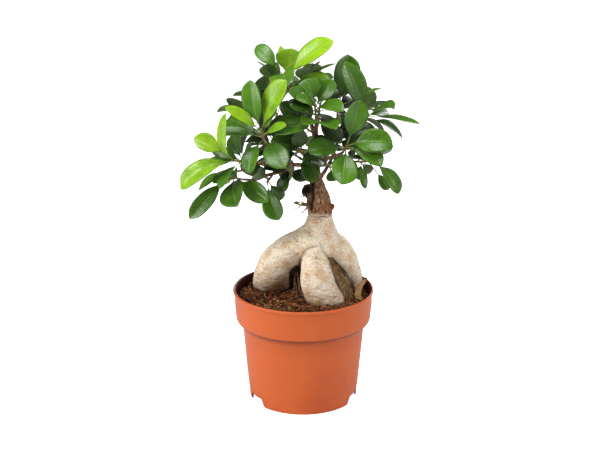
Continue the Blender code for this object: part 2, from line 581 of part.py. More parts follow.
def leaf_shape(node, tip, axis, width, roll, arch, stalk, extra=0.0, blade_only=False):
    """Closed leaf: a stalk and a folded, arched blade on four-point rings, ending in a point."""
    node = Vector(node)
    tip = Vector(tip)
    reach = tip - node
    length = reach.length
    ahead = reach / length
    face = facing(node, tip, axis)
    upper = (face - ahead * face.dot(ahead)).normalized()
    upper = Matrix.Rotation(math.radians(roll), 3, ahead) @ upper
    side = ahead.cross(upper)
    half = width * LEAF_WIDTH / 2 + extra
    thick = (LEAF_THICKNESS * min(1.0, width / 8 + 0.2)) / 2 + extra
    stalk = min(stalk, 0.025 * stalk * length)
    sections = [] if blade_only else [(0.0, STALK_RADIUS + extra, STALK_RADIUS + extra, 0.0)]
    for share, wide in BLADE_STATIONS:
        s = (stalk + (length - stalk) * share) / length
        sections.append((s, max(half * wide, STALK_RADIUS + extra), thick, half * wide * BLADE_FOLD * 2))
    rings = []
    for s, wide, deep, lift in sections:
        middle = node + reach * s + upper * (arch * length * 4 * s * (1 - s))
        slope = (reach + upper * (arch * length * 4 * (1 - 2 * s))).normalized()
        normal = side.cross(slope).normalized()
        rings.append(
            [
                middle - side * wide + normal * lift,
                middle + normal * deep,
                middle + side * wide + normal * lift,
                middle - normal * deep,
            ]
        )
    vertices, faces = loft(rings, cap_end=False)
    vertices.append(tuple(tip + ahead * extra))
    last = (len(rings) - 1) * 4
    faces += [(last + i, last + (i + 1) % 4, len(vertices) - 1) for i in range(4)]
    return vertices, faces


def nearest_row(rows, point):
    """The row of a bough's path that lies nearest to a point."""
    path = smooth_path(rows, 6)
    return min(path, key=lambda row: (Vector(row[:3]) - Vector(point)).length)


def along(line, share):
    """Point at a share of the way along a path of evenly timed rows."""
    place = share * (len(line) - 1)
    first = min(int(place), len(line) - 2)
    return Vector(line[first][:3]).lerp(Vector(line[first + 1][:3]), place - first)


class Placed:
    """A shape that has its room: search tree, box, owning shoot, and its blade if it is a leaf."""

    def __init__(self, owner, shape, blade=None):
        self.owner = owner
        self.whole = self.tree(shape)
        self.blade = self.tree(blade) if blade else self.whole
        points = np.array([tuple(v) for v in shape[0]])
        self.low = points.min(axis=0)
        self.high = points.max(axis=0)

    @staticmethod
    def tree(shape):
        """Search tree of vertices and faces."""
        return BVHTree.FromPolygons([Vector(v) for v in shape[0]], shape[1])

    def near(self, other):
        """True when the two boxes meet."""
        return bool((self.low <= other.high).all() and (other.low <= self.high).all())

    def crosses(self, other):
        """True when the two shapes cross; leaves of one shoot may meet at their stalks only."""
        if not self.near(other):
            return False
        if self.owner != other.owner:
            return bool(self.whole.overlap(other.whole))
        if self.blade.overlap(other.whole):
            return True
        return other.blade is not other.whole and bool(self.whole.overlap(other.blade))


# Ways a leaf may give way to its neighbours, mildest first:
# (shift of the tip, roll, arch, share of width).
GIVE_WAY = [((0, 0, 0), 0, 0, 1.0)]
for far in (2, 4, 6, 9, 12, 16, 20):
    for turn in (0, 15, -15, 30, -30):
        for way in ((0, 1, 0), (0, -1, 0), (0.2, 0.8, 0.2), (0.2, -0.8, -0.2), (-0.2, 0.8, -0.2),
                    (-0.2, -0.8, 0.2), (0, 0.2, 0.5), (0, -0.2, -0.5), (0.5, 0.2, 0), (-0.5, -0.2, 0)):
            GIVE_WAY.append((tuple(c * far for c in way), turn, 0.0, 1.0 - 0.01 * far))


def grow_leaf(name, node, axis, row, placed):
    """A leaf that crosses nothing, or None when there is no room for it."""
    x, y, z, width, roll, arch, *stalk = row
    stalk = stalk[0] if stalk else 8.0
    blockers = None
    for shift, turn, more, share in GIVE_WAY:
        tip = spread((x + shift[0], y + shift[1], z + shift[2]))
        form = (node, tip, axis, width * share, roll + turn, arch + more, stalk)
        trial = Placed(name, leaf_shape(*form, LEAF_ROOM), leaf_shape(*form, LEAF_ROOM, True))
        crossed = [p.owner for p in placed if trial.crosses(p)]
        if blockers is None:
            blockers = crossed
        if not crossed:
            shape = leaf_shape(*form)
            return shape, Placed(name, shape, leaf_shape(*form, 0.0, True)), form
    print("no room for", name, row, sorted(set(blockers)))
    return None


def twig_rows(parent, root, apex):
    """Path of a shoot's twig, starting inside its bough."""
    base = nearest_row(parent, spread(root))
    start = Vector(base[:3])
    apex = spread(apex)
    length = (apex - start).length
    size = min(1.0, length / 14 + 0.3)
    bend = (start + apex) / 2 - Vector((0, 0, 0.05 * length))
    return [(*start, min(0.6 * base[3], 1.2 * size)), (*bend, 1.1 * size), (*apex, 0.85 * size)]


def build_shoots(sleeves, wood, fixed):
    """Twigs first, then leaf by leaf wherever there is room."""
    placed = list(fixed)
    twigs = {}
    for name, (parent, root, apex, age, leaves) in SHOOTS.items():
        rows = twig_rows(wood[parent], root, apex)
        twigs[name] = rows
        placed.append(Placed(name, tube(rows, TWIG_SIDES, 2, grow=0.35)))
    for name, (parent, root, apex, age, leaves) in SHOOTS.items():
        line = smooth_path(twigs[name], 6)
        axis = Vector(line[-1][:3] - line[-4][:3]).normalized()
        axis = (axis + Vector((0, 0, 0.35))).normalized()
        shapes = []
        for number, row in enumerate(leaves):
            node = along(line, 0.94 - 0.5 * number / len(leaves))
            grew = grow_leaf(name, node, axis, row, placed)
            if grew:
                shapes.append(grew[0])
                placed.append(grew[1])
        finish_shoot(name, tube(twigs[name], TWIG_SIDES, 2, tip=True), shapes, age, sleeves[parent])


def finish_shoot(name, twig, shapes, age, sleeve):
    """Seat the twig on its bough and join the leaves to it."""
    shoot = mesh_object(name, *twig, age)
    boolean(shoot, "DIFFERENCE", sleeve)
    vertices = []
    faces = []
    for more, joined in shapes:
        faces += [tuple(i + len(vertices) for i in face) for face in joined]
        vertices += more
    if vertices:
        leaves = mesh_object("leaves_of_" + name, vertices, faces, guide=True)
        boolean(shoot, "UNION", leaves, own_crossings=True)


# ---- assembly ----------------------------------------------------------------------
def main():
    """Clear the scene and build every node."""
    for old in list(bpy.data.objects):
        bpy.data.objects.remove(old, do_unlink=True)
    build_pot()
    build_root_body("root_caudex", 0.0)
    root_guide = build_root_body("sleeve_root", FIT_GAP + 0.05)
    build_soil(root_guide)
    stub, sleeves, wood = build_trunk(root_guide)
    build_boughs(sleeves, wood)
    fixed = []
    for guide in list(sleeves.values()) + [stub]:
        points = [v.co / MM for v in guide.data.vertices]
        fixed.append(Placed("wood", (points, [tuple(p.vertices) for p in guide.data.polygons])))
    build_shoots(sleeves, wood, fixed)


main()
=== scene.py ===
"""Grafted fig bonsai in a nursery pot: the visible surfaces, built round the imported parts."""
import logging
import math
from dataclasses import dataclass, field
from enum import Enum

import bmesh
import bpy
import numpy as np
from mathutils import Matrix, Vector


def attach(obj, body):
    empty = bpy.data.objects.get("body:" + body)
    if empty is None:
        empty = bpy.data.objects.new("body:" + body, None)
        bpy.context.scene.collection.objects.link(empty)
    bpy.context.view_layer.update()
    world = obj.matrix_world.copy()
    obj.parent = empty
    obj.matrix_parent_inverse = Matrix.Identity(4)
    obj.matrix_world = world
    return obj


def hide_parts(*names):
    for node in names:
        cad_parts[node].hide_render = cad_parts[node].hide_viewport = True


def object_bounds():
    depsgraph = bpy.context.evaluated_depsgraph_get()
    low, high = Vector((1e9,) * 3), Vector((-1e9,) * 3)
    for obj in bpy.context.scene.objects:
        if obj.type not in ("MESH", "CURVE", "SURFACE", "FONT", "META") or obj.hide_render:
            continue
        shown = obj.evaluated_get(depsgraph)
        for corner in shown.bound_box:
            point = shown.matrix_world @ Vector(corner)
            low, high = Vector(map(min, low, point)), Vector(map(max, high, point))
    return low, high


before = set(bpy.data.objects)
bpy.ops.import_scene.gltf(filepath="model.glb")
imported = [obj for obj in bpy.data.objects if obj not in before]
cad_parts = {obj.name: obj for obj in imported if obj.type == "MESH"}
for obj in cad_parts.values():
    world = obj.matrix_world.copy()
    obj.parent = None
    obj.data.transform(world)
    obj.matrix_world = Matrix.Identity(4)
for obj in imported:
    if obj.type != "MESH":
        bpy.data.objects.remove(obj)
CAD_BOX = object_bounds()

LOG = logging.getLogger("bonsai")
MM = 0.001
BODY = "root"


class Slot(Enum):
    """The record's material slots."""

    POT = "pot_plastic"
    PEAT = "peat"
    ROOT = "root_skin"
    BARK = "bark"
    MATURE = "leaf_mature"
    YOUNG = "leaf_young"


# ---- numbers ------------------------------------------------------------------------
def unit(rows: np.ndarray) -> np.ndarray:
    """Vectors scaled to length one along the last axis."""
    return rows / np.maximum(np.linalg.norm(rows, axis=-1, keepdims=True), 1e-12)


def lattice_noise(points: np.ndarray, cell: float, seed: int) -> np.ndarray:
    """Smooth value noise in space.

    Formula: random values sit at the corners of cubes of the given size, and a point takes their
    blend, each axis weighed by t * t * (3 - 2 * t), where t is its place within the cube.

    Args:
        points: N by 3 positions in millimetres.
        cell: size of a cube in millimetres.
        seed: picks the random values.

    Returns:
        N values from -1 to 1.
    """
    place = points / cell
    low = np.floor(place).astype(np.int64)
    t = place - low
    t = t * t * (3 - 2 * t)
    total = np.zeros(len(points))
    for corner in range(8):
        step = np.array([corner & 1, corner >> 1 & 1, corner >> 2 & 1])
        at = low + step
        mixed = (at[:, 0] * 73856093) ^ (at[:, 1] * 19349663) ^ (at[:, 2] * 83492791) ^ (seed * 2654435761)
        value = ((mixed * 1103515245 + 12345) >> 8 & 0xFFFF) / 32767.5 - 1
        total += value * np.prod(np.where(step == 1, t, 1 - t), axis=1)
    return total


def layered_noise(points: np.ndarray, cell: float, seed: int, layers: int = 3) -> np.ndarray:
    """Sum of lattice noise at halving sizes, each layer half as strong as the one before."""
    return sum(lattice_noise(points, cell / 2**k, seed + k) / 2**k for k in range(layers))


def spline(rows: np.ndarray, count: int) -> np.ndarray:
    """Catmull-Rom curve through rows, resampled to count points as whole arrays."""
    rows = np.asarray(rows, float)
    padded = np.vstack([2 * rows[0] - rows[1], rows, 2 * rows[-1] - rows[-2]])
    place = np.linspace(0, len(rows) - 1, count)
    first = np.minimum(place.astype(int), len(rows) - 2)
    t = (place - first)[:, None]
    a, b, c, d = (padded[first + k] for k in range(4))
    return 0.5 * (2 * b + (c - a) * t + (2 * a - 5 * b + 4 * c - d) * t**2 + (3 * b - a - 3 * c + d) * t**3)


# ---- meshes -------------------------------------------------------------------------
@dataclass
class Surface:
    """Vertices in millimetres, faces, and values carried at each vertex."""

    points: np.ndarray
    faces: list
    values: dict[str, np.ndarray] = field(default_factory=dict)
    parts: np.ndarray | None = None

    @staticmethod
    def joined(several: list["Surface"]) -> "Surface":
        """All the surfaces as one, with zeros where a value is missing."""
        names = sorted({name for one in several for name in one.values})
        shift = np.cumsum([0] + [len(one.points) for one in several])
        faces = [
            tuple(int(i) + int(base) for i in face) for one, base in zip(several, shift) for face in one.faces
        ]
        values = {
            name: np.concatenate([one.values.get(name, np.zeros(len(one.points))) for one in several])
            for name in names
        }
        parts = np.concatenate(
            [one.parts if one.parts is not None else np.zeros(len(one.faces), int) for one in several]
        )
        return Surface(np.vstack([one.points for one in several]), faces, values, parts)


def ring_faces(rows: int, columns: int, caps: bool = True) -> list:
    """Quads of a lofted grid whose columns close on themselves, with flat end caps."""
    i, j = np.meshgrid(np.arange(rows - 1), np.arange(columns), indexing="ij")
    k = (j + 1) % columns
    quads = np.stack([i * columns + j, i * columns + k, (i + 1) * columns + k, (i + 1) * columns + j], -1)
    faces = quads.reshape(-1, 4).tolist()
    if caps:
        faces.append(list(range(columns))[::-1])
        faces.append(list(range((rows - 1) * columns, rows * columns)))
    return faces


def tube(path: np.ndarray, radii: np.ndarray, sides: int, seed: int = 0, rough: float = 0.0) -> Surface:
    """Round tube along a path.

    Formula: centre + radius * (cos a * side + sin a * other), where side is a fixed direction with
    its share along the path taken out, and rough noise changes the radius a little.

    Args:
        path: N by 3 centre line in millimetres.
        radii: N radii in millimetres.
        sides: corners round the tube.
        seed: picks the roughness.
        rough: share of the radius that the roughness may add or take.

    Returns:
        A closed surface.
    """
    ahead = unit(np.gradient(path, axis=0))
    guess = np.array([0.31, 0.22, 0.93]) if abs(ahead[:, 2]).mean() < 0.8 else np.array([0.95, 0.2, 0.1])
    side = unit(guess - (ahead @ guess)[:, None] * ahead)
    other = np.cross(ahead, side)
    a = np.linspace(0, 2 * math.pi, sides, endpoint=False)
    ring = np.cos(a)[None, :, None] * side[:, None] + np.sin(a)[None, :, None] * other[:, None]
    points = (path[:, None] + ring * radii[:, None, None]).reshape(-1, 3)
    if rough:
        swell = 1 + rough * layered_noise(points, 2.4, seed, 2)
        centre = np.repeat(path, sides, axis=0)
        points = centre + (points - centre) * swell[:, None]
    along = np.repeat(np.linspace(0, 1, len(path)), sides)
    return Surface(points, ring_faces(len(path), sides), {"along": along})


def make_piece(
    name: str, surface: Surface, finishes: list, stands_for: tuple = ()
) -> bpy.types.Object:
    """Put a surface into the scene as a piece that rides on the object's one body.

    Args:
        name: piece name.
        surface: what it is made of.
        finishes: materials, picked for each face by surface.parts.
        stands_for: CAD nodes that it replaces.

    Returns:
        The new object.
    """
    mesh = bpy.data.meshes.new(name)
    low, high = (np.array(corner) / MM for corner in CAD_BOX)
    mesh.from_pydata((np.clip(surface.points, low, high) * MM).tolist(), [], surface.faces)
    for title, value in surface.values.items():
        layer = mesh.attributes.new(title, "FLOAT", "POINT")
        layer.data.foreach_set("value", np.ascontiguousarray(value, np.float32))
    if "blade_u" in surface.values:
        corner = np.zeros(len(mesh.loops), np.int32)
        mesh.loops.foreach_get("vertex_index", corner)
        pair = np.stack([surface.values["blade_u"][corner], surface.values["blade_v"][corner]], 1)
        mesh.uv_layers.new(name="blade").data.foreach_set("uv", pair.astype(np.float32).ravel())
    for finish in finishes:
        mesh.materials.append(finish)
    if surface.parts is not None and len(finishes) > 1:
        mesh.polygons.foreach_set("material_index", surface.parts.astype(np.int32))
    mesh.shade_smooth()
    mesh.update()
    piece = bpy.data.objects.new(name, mesh)
    bpy.context.scene.collection.objects.link(piece)
    return settle(piece, stands_for)


def settle(piece: bpy.types.Object, stands_for: tuple = ()) -> bpy.types.Object:
    """Ride and replacement of a finished piece, with a line in the log."""
    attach(piece, BODY)
    if stands_for:
        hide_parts(*stands_for)
    LOG.info("%s: %d faces", piece.name, len(piece.data.polygons))
    return piece


def welded(node: str) -> tuple[np.ndarray, np.ndarray]:
    """A CAD node's corners in millimetres, merged, and its triangles."""
    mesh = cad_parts[node].data
    points = np.zeros(len(mesh.vertices) * 3, np.float32)
    mesh.vertices.foreach_get("co", points)
    mesh.calc_loop_triangles()
    triangles = np.zeros(len(mesh.loop_triangles) * 3, np.int32)
    mesh.loop_triangles.foreach_get("vertices", triangles)
    points = points.reshape(-1, 3).astype(float) / MM
    _, first, merged = np.unique(np.round(points, 3), axis=0, return_index=True, return_inverse=True)
    return points[first], merged.reshape(-1)[triangles].reshape(-1, 3)


def capped(faces: list) -> list:
    """The faces of an open mesh, with each open loop filled by one more face.

    Args:
        faces: faces as lists of vertex numbers, all turned the same way.

    Returns:
        The same faces and the caps.
    """
    edges = {(face[k - 1], face[k]) for face in faces for k in range(len(face))}
    onward: dict[int, list[int]] = {}
    for first, second in sorted(edges):
        if (second, first) not in edges:
            onward.setdefault(second, []).append(first)
    caps = []
    while onward:
        path = [next(iter(onward))]
        while path[-1] in onward:
            ends = onward[path[-1]]
            ahead = ends.pop()
            if not ends:
                del onward[path[-1]]
            if ahead not in path:
                path.append(ahead)
                continue
            at = path.index(ahead)
            if len(path) - at > 2:
                caps.append(path[at:])
            del path[at + 1 :]
    return faces + caps


def evenly(points: np.ndarray, faces: list, name: str, voxel: float, smooth: int) -> bpy.types.Object:
    """A closed mesh remeshed evenly and smoothed, as an object not yet riding.

    Args:
        points: vertices in millimetres.
        faces: faces of the mesh; open loops are filled first.
        name: name of the object.
        voxel: cell size in millimetres.
        smooth: rounds of smoothing.

    Returns:
        The new object with its modifiers applied.
    """
    mesh = bpy.data.meshes.new(name)
    mesh.from_pydata((points * MM).tolist(), [], capped(faces))
    piece = bpy.data.objects.new(name, mesh)
    bpy.context.scene.collection.objects.link(piece)
    grid = piece.modifiers.new("even", "REMESH")
    grid.mode = "VOXEL"
    grid.voxel_size = voxel * MM
    soft = piece.modifiers.new("soft", "SMOOTH")
    soft.factor = 0.5
    soft.iterations = smooth
    applied = bpy.data.meshes.new_from_object(piece.evaluated_get(bpy.context.evaluated_depsgraph_get()))
    piece.modifiers.clear()
    piece.data = applied
    bpy.data.meshes.remove(mesh)
    applied.name = name
    return piece


def remeshed(node: str, name: str, voxel: float, smooth: int) -> bpy.types.Object:
    """A merged copy of a CAD node, remeshed evenly and smoothed, as an object not yet riding."""
    points, triangles = welded(node)
    return evenly(points, triangles.tolist(), name, voxel, smooth)


def read_points(mesh: bpy.types.Mesh) -> tuple[np.ndarray, np.ndarray]:
    """Vertices and normals of a mesh as arrays, in millimetres."""
    points = np.zeros(len(mesh.vertices) * 3, np.float32)
    mesh.vertices.foreach_get("co", points)
    normals = np.zeros(len(mesh.vertices) * 3, np.float32)
    mesh.vertices.foreach_get("normal", normals)
    return points.reshape(-1, 3).astype(float) / MM, normals.reshape(-1, 3).astype(float)


def write_points(mesh: bpy.types.Mesh, points: np.ndarray) -> None:
    """Put millimetre positions back into a mesh."""
    mesh.vertices.foreach_set("co", (points * MM).astype(np.float32).ravel())
    mesh.update()


def add_value(mesh: bpy.types.Mesh, name: str, value: np.ndarray) -> None:
    """Store one number for each vertex."""
    layer = mesh.attributes.new(name, "FLOAT", "POINT")
    layer.data.foreach_set("value", np.ascontiguousarray(value, np.float32))


# ---- shader building ------------------------------------------------------------------
class Wiring:
    """Short calls for laying out a node tree."""

    def __init__(self, tree: bpy.types.NodeTree) -> None:
        """Args: tree: the material's or group's tree."""
        self.tree = tree

    def node(self, kind: str, **inputs: object) -> bpy.types.Node:
        """A node of a kind; names with a leading underscore are settings, the rest are sockets."""
        made = self.tree.nodes.new(kind)
        for name, value in inputs.items():
            if name.startswith("_"):
                setattr(made, name[1:], value)
        for name, value in inputs.items():
            if name.startswith("_"):
                continue
            if name[0] == "i" and name[1:].isdigit():
                socket = made.inputs[int(name[1:])]
            else:
                socket = made.inputs[name.replace("0", " ")]
            self.feed(socket, value)
        return made

    def feed(self, socket: bpy.types.NodeSocket, value: object) -> None:
        """Link a socket or set its number."""
        if isinstance(value, bpy.types.NodeSocket):
            self.tree.links.new(value, socket)
        elif isinstance(value, bpy.types.Node):
            self.tree.links.new(value.outputs[0], socket)
        else:
            socket.default_value = value

    def math(self, operation: str, a: object, b: object = 0.0, clamp: bool = False) -> bpy.types.NodeSocket:
        """One sum of two values."""
        return self.node("ShaderNodeMath", _operation=operation, _use_clamp=clamp, i0=a, i1=b).outputs[0]

    def ramp(
        self, value: object, low: float, high: float, start: float = 0.0, end: float = 1.0
    ) -> bpy.types.NodeSocket:
        """Smooth step of a value between two limits."""
        made = self.node("ShaderNodeMapRange", _interpolation_type="SMOOTHSTEP", Value=value)
        for name, number in (("From Min", low), ("From Max", high), ("To Min", start), ("To Max", end)):
            made.inputs[name].default_value = number
        return made.outputs[0]

    def mix(self, share: object, a: object, b: object, blend: str = "MIX") -> bpy.types.NodeSocket:
        """Two colours mixed by a share."""
        made = self.tree.nodes.new("ShaderNodeMix")
        made.data_type = "RGBA"
        made.blend_type = blend
        self.feed(made.inputs[0], share)
        self.feed(made.inputs[6], a)
        self.feed(made.inputs[7], b)
        return made.outputs[2]

    def noise(
        self, place: object, scale: float, detail: float = 3.0, rough: float = 0.55
    ) -> bpy.types.NodeSocket:
        """Noise value at a place; the scale is per metre."""
        made = self.node("ShaderNodeTexNoise", Vector=place, Scale=scale, Detail=detail, Roughness=rough)
        return made.outputs["Fac"]

    def value(self, name: str) -> bpy.types.NodeSocket:
        """A number stored on the mesh."""
        return self.node("ShaderNodeAttribute", _attribute_name=name).outputs["Fac"]


def shared_group(name: str, inputs: dict, outputs: dict) -> tuple[
    bpy.types.NodeTree, Wiring, bpy.types.Node, bpy.types.Node
]:
    """A new shader group with named sockets.

    Args:
        name: group name.
        inputs: socket name to (socket type, default).
        outputs: socket name to socket type.

    Returns:
        The group, its wiring, and its input and output nodes.
    """
    group = bpy.data.node_groups.new(name, "ShaderNodeTree")
    for title, (kind, default) in inputs.items():
        socket = group.interface.new_socket(title, in_out="INPUT", socket_type=kind)
        if default is not None:
            socket.default_value = default
    for title, kind in outputs.items():
        group.interface.new_socket(title, in_out="OUTPUT", socket_type=kind)
    wire = Wiring(group)
    return group, wire, group.nodes.new("NodeGroupInput"), group.nodes.new("NodeGroupOutput")


class Effects:
    """Surface effects that several finishes share, each a node group built once."""

    def __init__(self) -> None:
        """Build the groups."""
        self.mottle = self.build_mottle()
        self.grain = self.build_grain()
        self.veins = self.build_veins()

    @staticmethod
    def build_mottle() -> bpy.types.NodeTree:
        """Two colours in soft patches: noise through a smooth step picks between them."""
        group, wire, given, out = shared_group(
            "mottle",
            {
                "Place": ("NodeSocketVector", None),
                "Base": ("NodeSocketColor", (0.5, 0.5, 0.5, 1)),
                "Patch": ("NodeSocketColor", (0.3, 0.3, 0.3, 1)),
                "Scale": ("NodeSocketFloat", 100.0),
                "Cover": ("NodeSocketFloat", 0.5),
            },
            {"Color": "NodeSocketColor", "Mask": "NodeSocketFloat"},
        )
        noise = wire.node(
            "ShaderNodeTexNoise", Vector=given.outputs["Place"], Scale=given.outputs["Scale"], Detail=5.0
        )
        edge = wire.math("SUBTRACT", 0.82, given.outputs["Cover"])
        mask = wire.math("MULTIPLY", wire.math("SUBTRACT", noise.outputs["Fac"], edge), 6.0, clamp=True)
        wire.feed(out.inputs["Color"], wire.mix(mask, given.outputs["Base"], given.outputs["Patch"]))
        wire.feed(out.inputs["Mask"], mask)
        return group

    @staticmethod
    def build_grain() -> bpy.types.NodeTree:
        """Fine uneven height: two sizes of noise added."""
        group, wire, given, out = shared_group(
            "grain",
            {
                "Place": ("NodeSocketVector", None),
                "Scale": ("NodeSocketFloat", 900.0),
                "Coarse": ("NodeSocketFloat", 0.3),
            },
            {"Height": "NodeSocketFloat"},
        )
        fine = wire.node(
            "ShaderNodeTexNoise", Vector=given.outputs["Place"], Scale=given.outputs["Scale"], Detail=4.0
        )
        wide = wire.math("MULTIPLY", given.outputs["Scale"], given.outputs["Coarse"])
        coarse = wire.node("ShaderNodeTexNoise", Vector=given.outputs["Place"], Scale=wide, Detail=3.0)
        wire.feed(
            out.inputs["Height"],
            wire.math("ADD", wire.math("MULTIPLY", fine.outputs["Fac"], 0.4), coarse.outputs["Fac"]),
        )
        return group

    @staticmethod
    def build_veins() -> bpy.types.NodeTree:
        """Midrib and side veins of a blade from its own (u, v): u runs to the tip, v across from 0 to 1."""
        group, wire, given, out = shared_group(
            "veins",
            {
                "U": ("NodeSocketFloat", 0.5),
                "V": ("NodeSocketFloat", 0.5),
                "Wobble": ("NodeSocketFloat", 0.0),
            },
            {"Midrib": "NodeSocketFloat", "Side": "NodeSocketFloat"},
        )
        across = wire.math(
            "MULTIPLY", wire.math("ABSOLUTE", wire.math("SUBTRACT", given.outputs["V"], 0.5)), 2.0
        )
        slim = wire.math("SUBTRACT", 0.085, wire.math("MULTIPLY", given.outputs["U"], 0.06))
        rib = wire.math("SUBTRACT", 1.0, wire.math("DIVIDE", across, slim), clamp=True)
        slant = wire.math("SUBTRACT", given.outputs["U"], wire.math("MULTIPLY", across, 0.16))
        slant = wire.math("ADD", slant, wire.math("MULTIPLY", given.outputs["Wobble"], 0.02))
        wave = wire.math("SINE", wire.math("MULTIPLY", slant, 70.0))
        side = wire.ramp(wave, 0.72, 1.0)
        fade = wire.ramp(across, 0.98, 0.5)
        wire.feed(out.inputs["Midrib"], rib)
        wire.feed(out.inputs["Side"], wire.math("MULTIPLY", side, fade))
        return group


def ink(red: int, green: int, blue: int) -> tuple:
    """Screen colour, 0 to 255, as a linear colour with full opacity."""
    linear = (c / 255 / 12.92 if c <= 10 else ((c / 255 + 0.055) / 1.055) ** 2.4 for c in (red, green, blue))
    return (*linear, 1.0)


# ---- finishes -------------------------------------------------------------------------
@dataclass(frozen=True)
class Finish:
    """A surface finish: how rough it is, and what its nodes do."""

    name: str
    rough: float = 0.6
    shine: float = 0.5

    def make(self, effects: Effects) -> bpy.types.Material:
        """The material.

        Args:
            effects: groups that finishes share.

        Returns:
            A node material with one Principled shader.
        """
        stuff = bpy.data.materials.new(self.name)
        stuff.use_nodes = True
        tree = stuff.node_tree
        shader = next(node for node in tree.nodes if node.type == "BSDF_PRINCIPLED")
        shader.inputs["Roughness"].default_value = self.rough
        shader.inputs["Specular IOR Level"].default_value = self.shine
        wire = Wiring(tree)
        place = wire.node("ShaderNodeTexCoord").outputs["Object"]
        self.paint(wire, shader, place, effects)
        return stuff

    def paint(
        self, wire: Wiring, shader: bpy.types.Node, place: bpy.types.NodeSocket, effects: Effects
    ) -> None:
        """Lay the finish's own nodes; each kind of finish has its own."""

    @staticmethod
    def stretch(
        wire: Wiring, place: bpy.types.NodeSocket, x: float, y: float, z: float
    ) -> bpy.types.NodeSocket:
        """A place scaled on each axis."""
        return wire.node("ShaderNodeMapping", Vector=place, Scale=(x, y, z)).outputs[0]

    @staticmethod
    def bump(
        wire: Wiring, shader: bpy.types.Node, height: object, depth: float, strength: float = 1.0
    ) -> None:
        """Height in the shader's normal; depth in millimetres."""
        made = wire.node("ShaderNodeBump", Height=height, Distance=depth * MM, Strength=strength)
        wire.feed(shader.inputs["Normal"], made.outputs[0])

    @staticmethod
    def grouped(wire: Wiring, group: bpy.types.NodeTree, **inputs: object) -> bpy.types.Node:
        """A group node with its inputs fed."""
        made = wire.tree.nodes.new("ShaderNodeGroup")
        made.node_tree = group
        for name, value in inputs.items():
            wire.feed(made.inputs[name], value)
        return made


@dataclass(frozen=True)
class PotPlastic(Finish):
    """Moulded terracotta-coloured plastic, scuffed and a little dusty low down."""

    body: tuple = ink(194, 90, 38)
    worn: tuple = ink(184, 80, 33)
    dust: tuple = ink(216, 140, 100)
    rough: float = 0.4
    shine: float = 0.28

    def paint(
        self, wire: Wiring, shader: bpy.types.Node, place: bpy.types.NodeSocket, effects: Effects
    ) -> None:
        """Cloudy colour, faint scuffs round the pot, a fine moulded grain, and painted shade on the inner
        wall, under the collar and the lip and in the notches.

        Args:
            wire: helper for the material's node tree.
            shader: the Principled shader.
            place: object coordinates.
            effects: groups that finishes share.
        """
        cloud = self.grouped(
            wire, effects.mottle, Place=place, Base=self.body, Patch=self.worn, Scale=14.0, Cover=0.3
        )
        scuff_place = self.stretch(wire, place, 1.0, 1.0, 7.0)
        scuff = wire.ramp(wire.noise(scuff_place, 90.0, 6.0, 0.7), 0.57, 0.72)
        low = wire.value("low")
        share = wire.math("MULTIPLY", scuff, wire.math("ADD", wire.math("MULTIPLY", low, 0.2), 0.08))
        color = wire.mix(share, cloud.outputs["Color"], self.dust)
        # Painted shade: the inner wall of the pot is darkened almost to black.
        color = wire.mix(wire.math("MULTIPLY", wire.value("inside"), 0.94), color, ink(44, 20, 14))
        # Painted shade under the collar and the lip and in the notches, from the stored shade value.
        color = wire.mix(wire.value("shade"), color, ink(84, 34, 18))
        wire.feed(shader.inputs["Base Color"], color)
        wire.feed(
            shader.inputs["Roughness"], wire.math("ADD", wire.math("MULTIPLY", scuff, 0.16), self.rough)
        )
        grain = self.grouped(wire, effects.grain, Place=place, Scale=1500.0, Coarse=0.12)
        self.bump(wire, shader, grain.outputs["Height"], 0.12, 0.5)


@dataclass(frozen=True)
class Peat(Finish):
    """Moist peat and coir."""

    body: tuple = ink(78, 42, 24)
    light: tuple = ink(132, 74, 40)
    rough: float = 0.95
    shine: float = 0.12

    def paint(
        self, wire: Wiring, shader: bpy.types.Node, place: bpy.types.NodeSocket, effects: Effects
    ) -> None:
        """Dark crumbs with tan fibres, each crumb tinted by its own value.

        Args:
            wire: helper for the material's node tree.
            shader: the Principled shader.
            place: object coordinates.
            effects: groups that finishes share.
        """
        cloud = self.grouped(
            wire, effects.mottle, Place=place, Base=self.body, Patch=self.light, Scale=520.0, Cover=0.38
        )
        dark = wire.ramp(wire.noise(place, 300.0, 6.0, 0.7), 0.47, 0.57)
        color = wire.mix(dark, cloud.outputs["Color"], ink(14, 7, 3))
        color = wire.mix(wire.value("tint"), color, ink(176, 116, 66))
        wire.feed(shader.inputs["Base Color"], color)
        grain = self.grouped(wire, effects.grain, Place=place, Scale=1300.0, Coarse=0.35)
        self.bump(wire, shader, grain.outputs["Height"], 0.9)


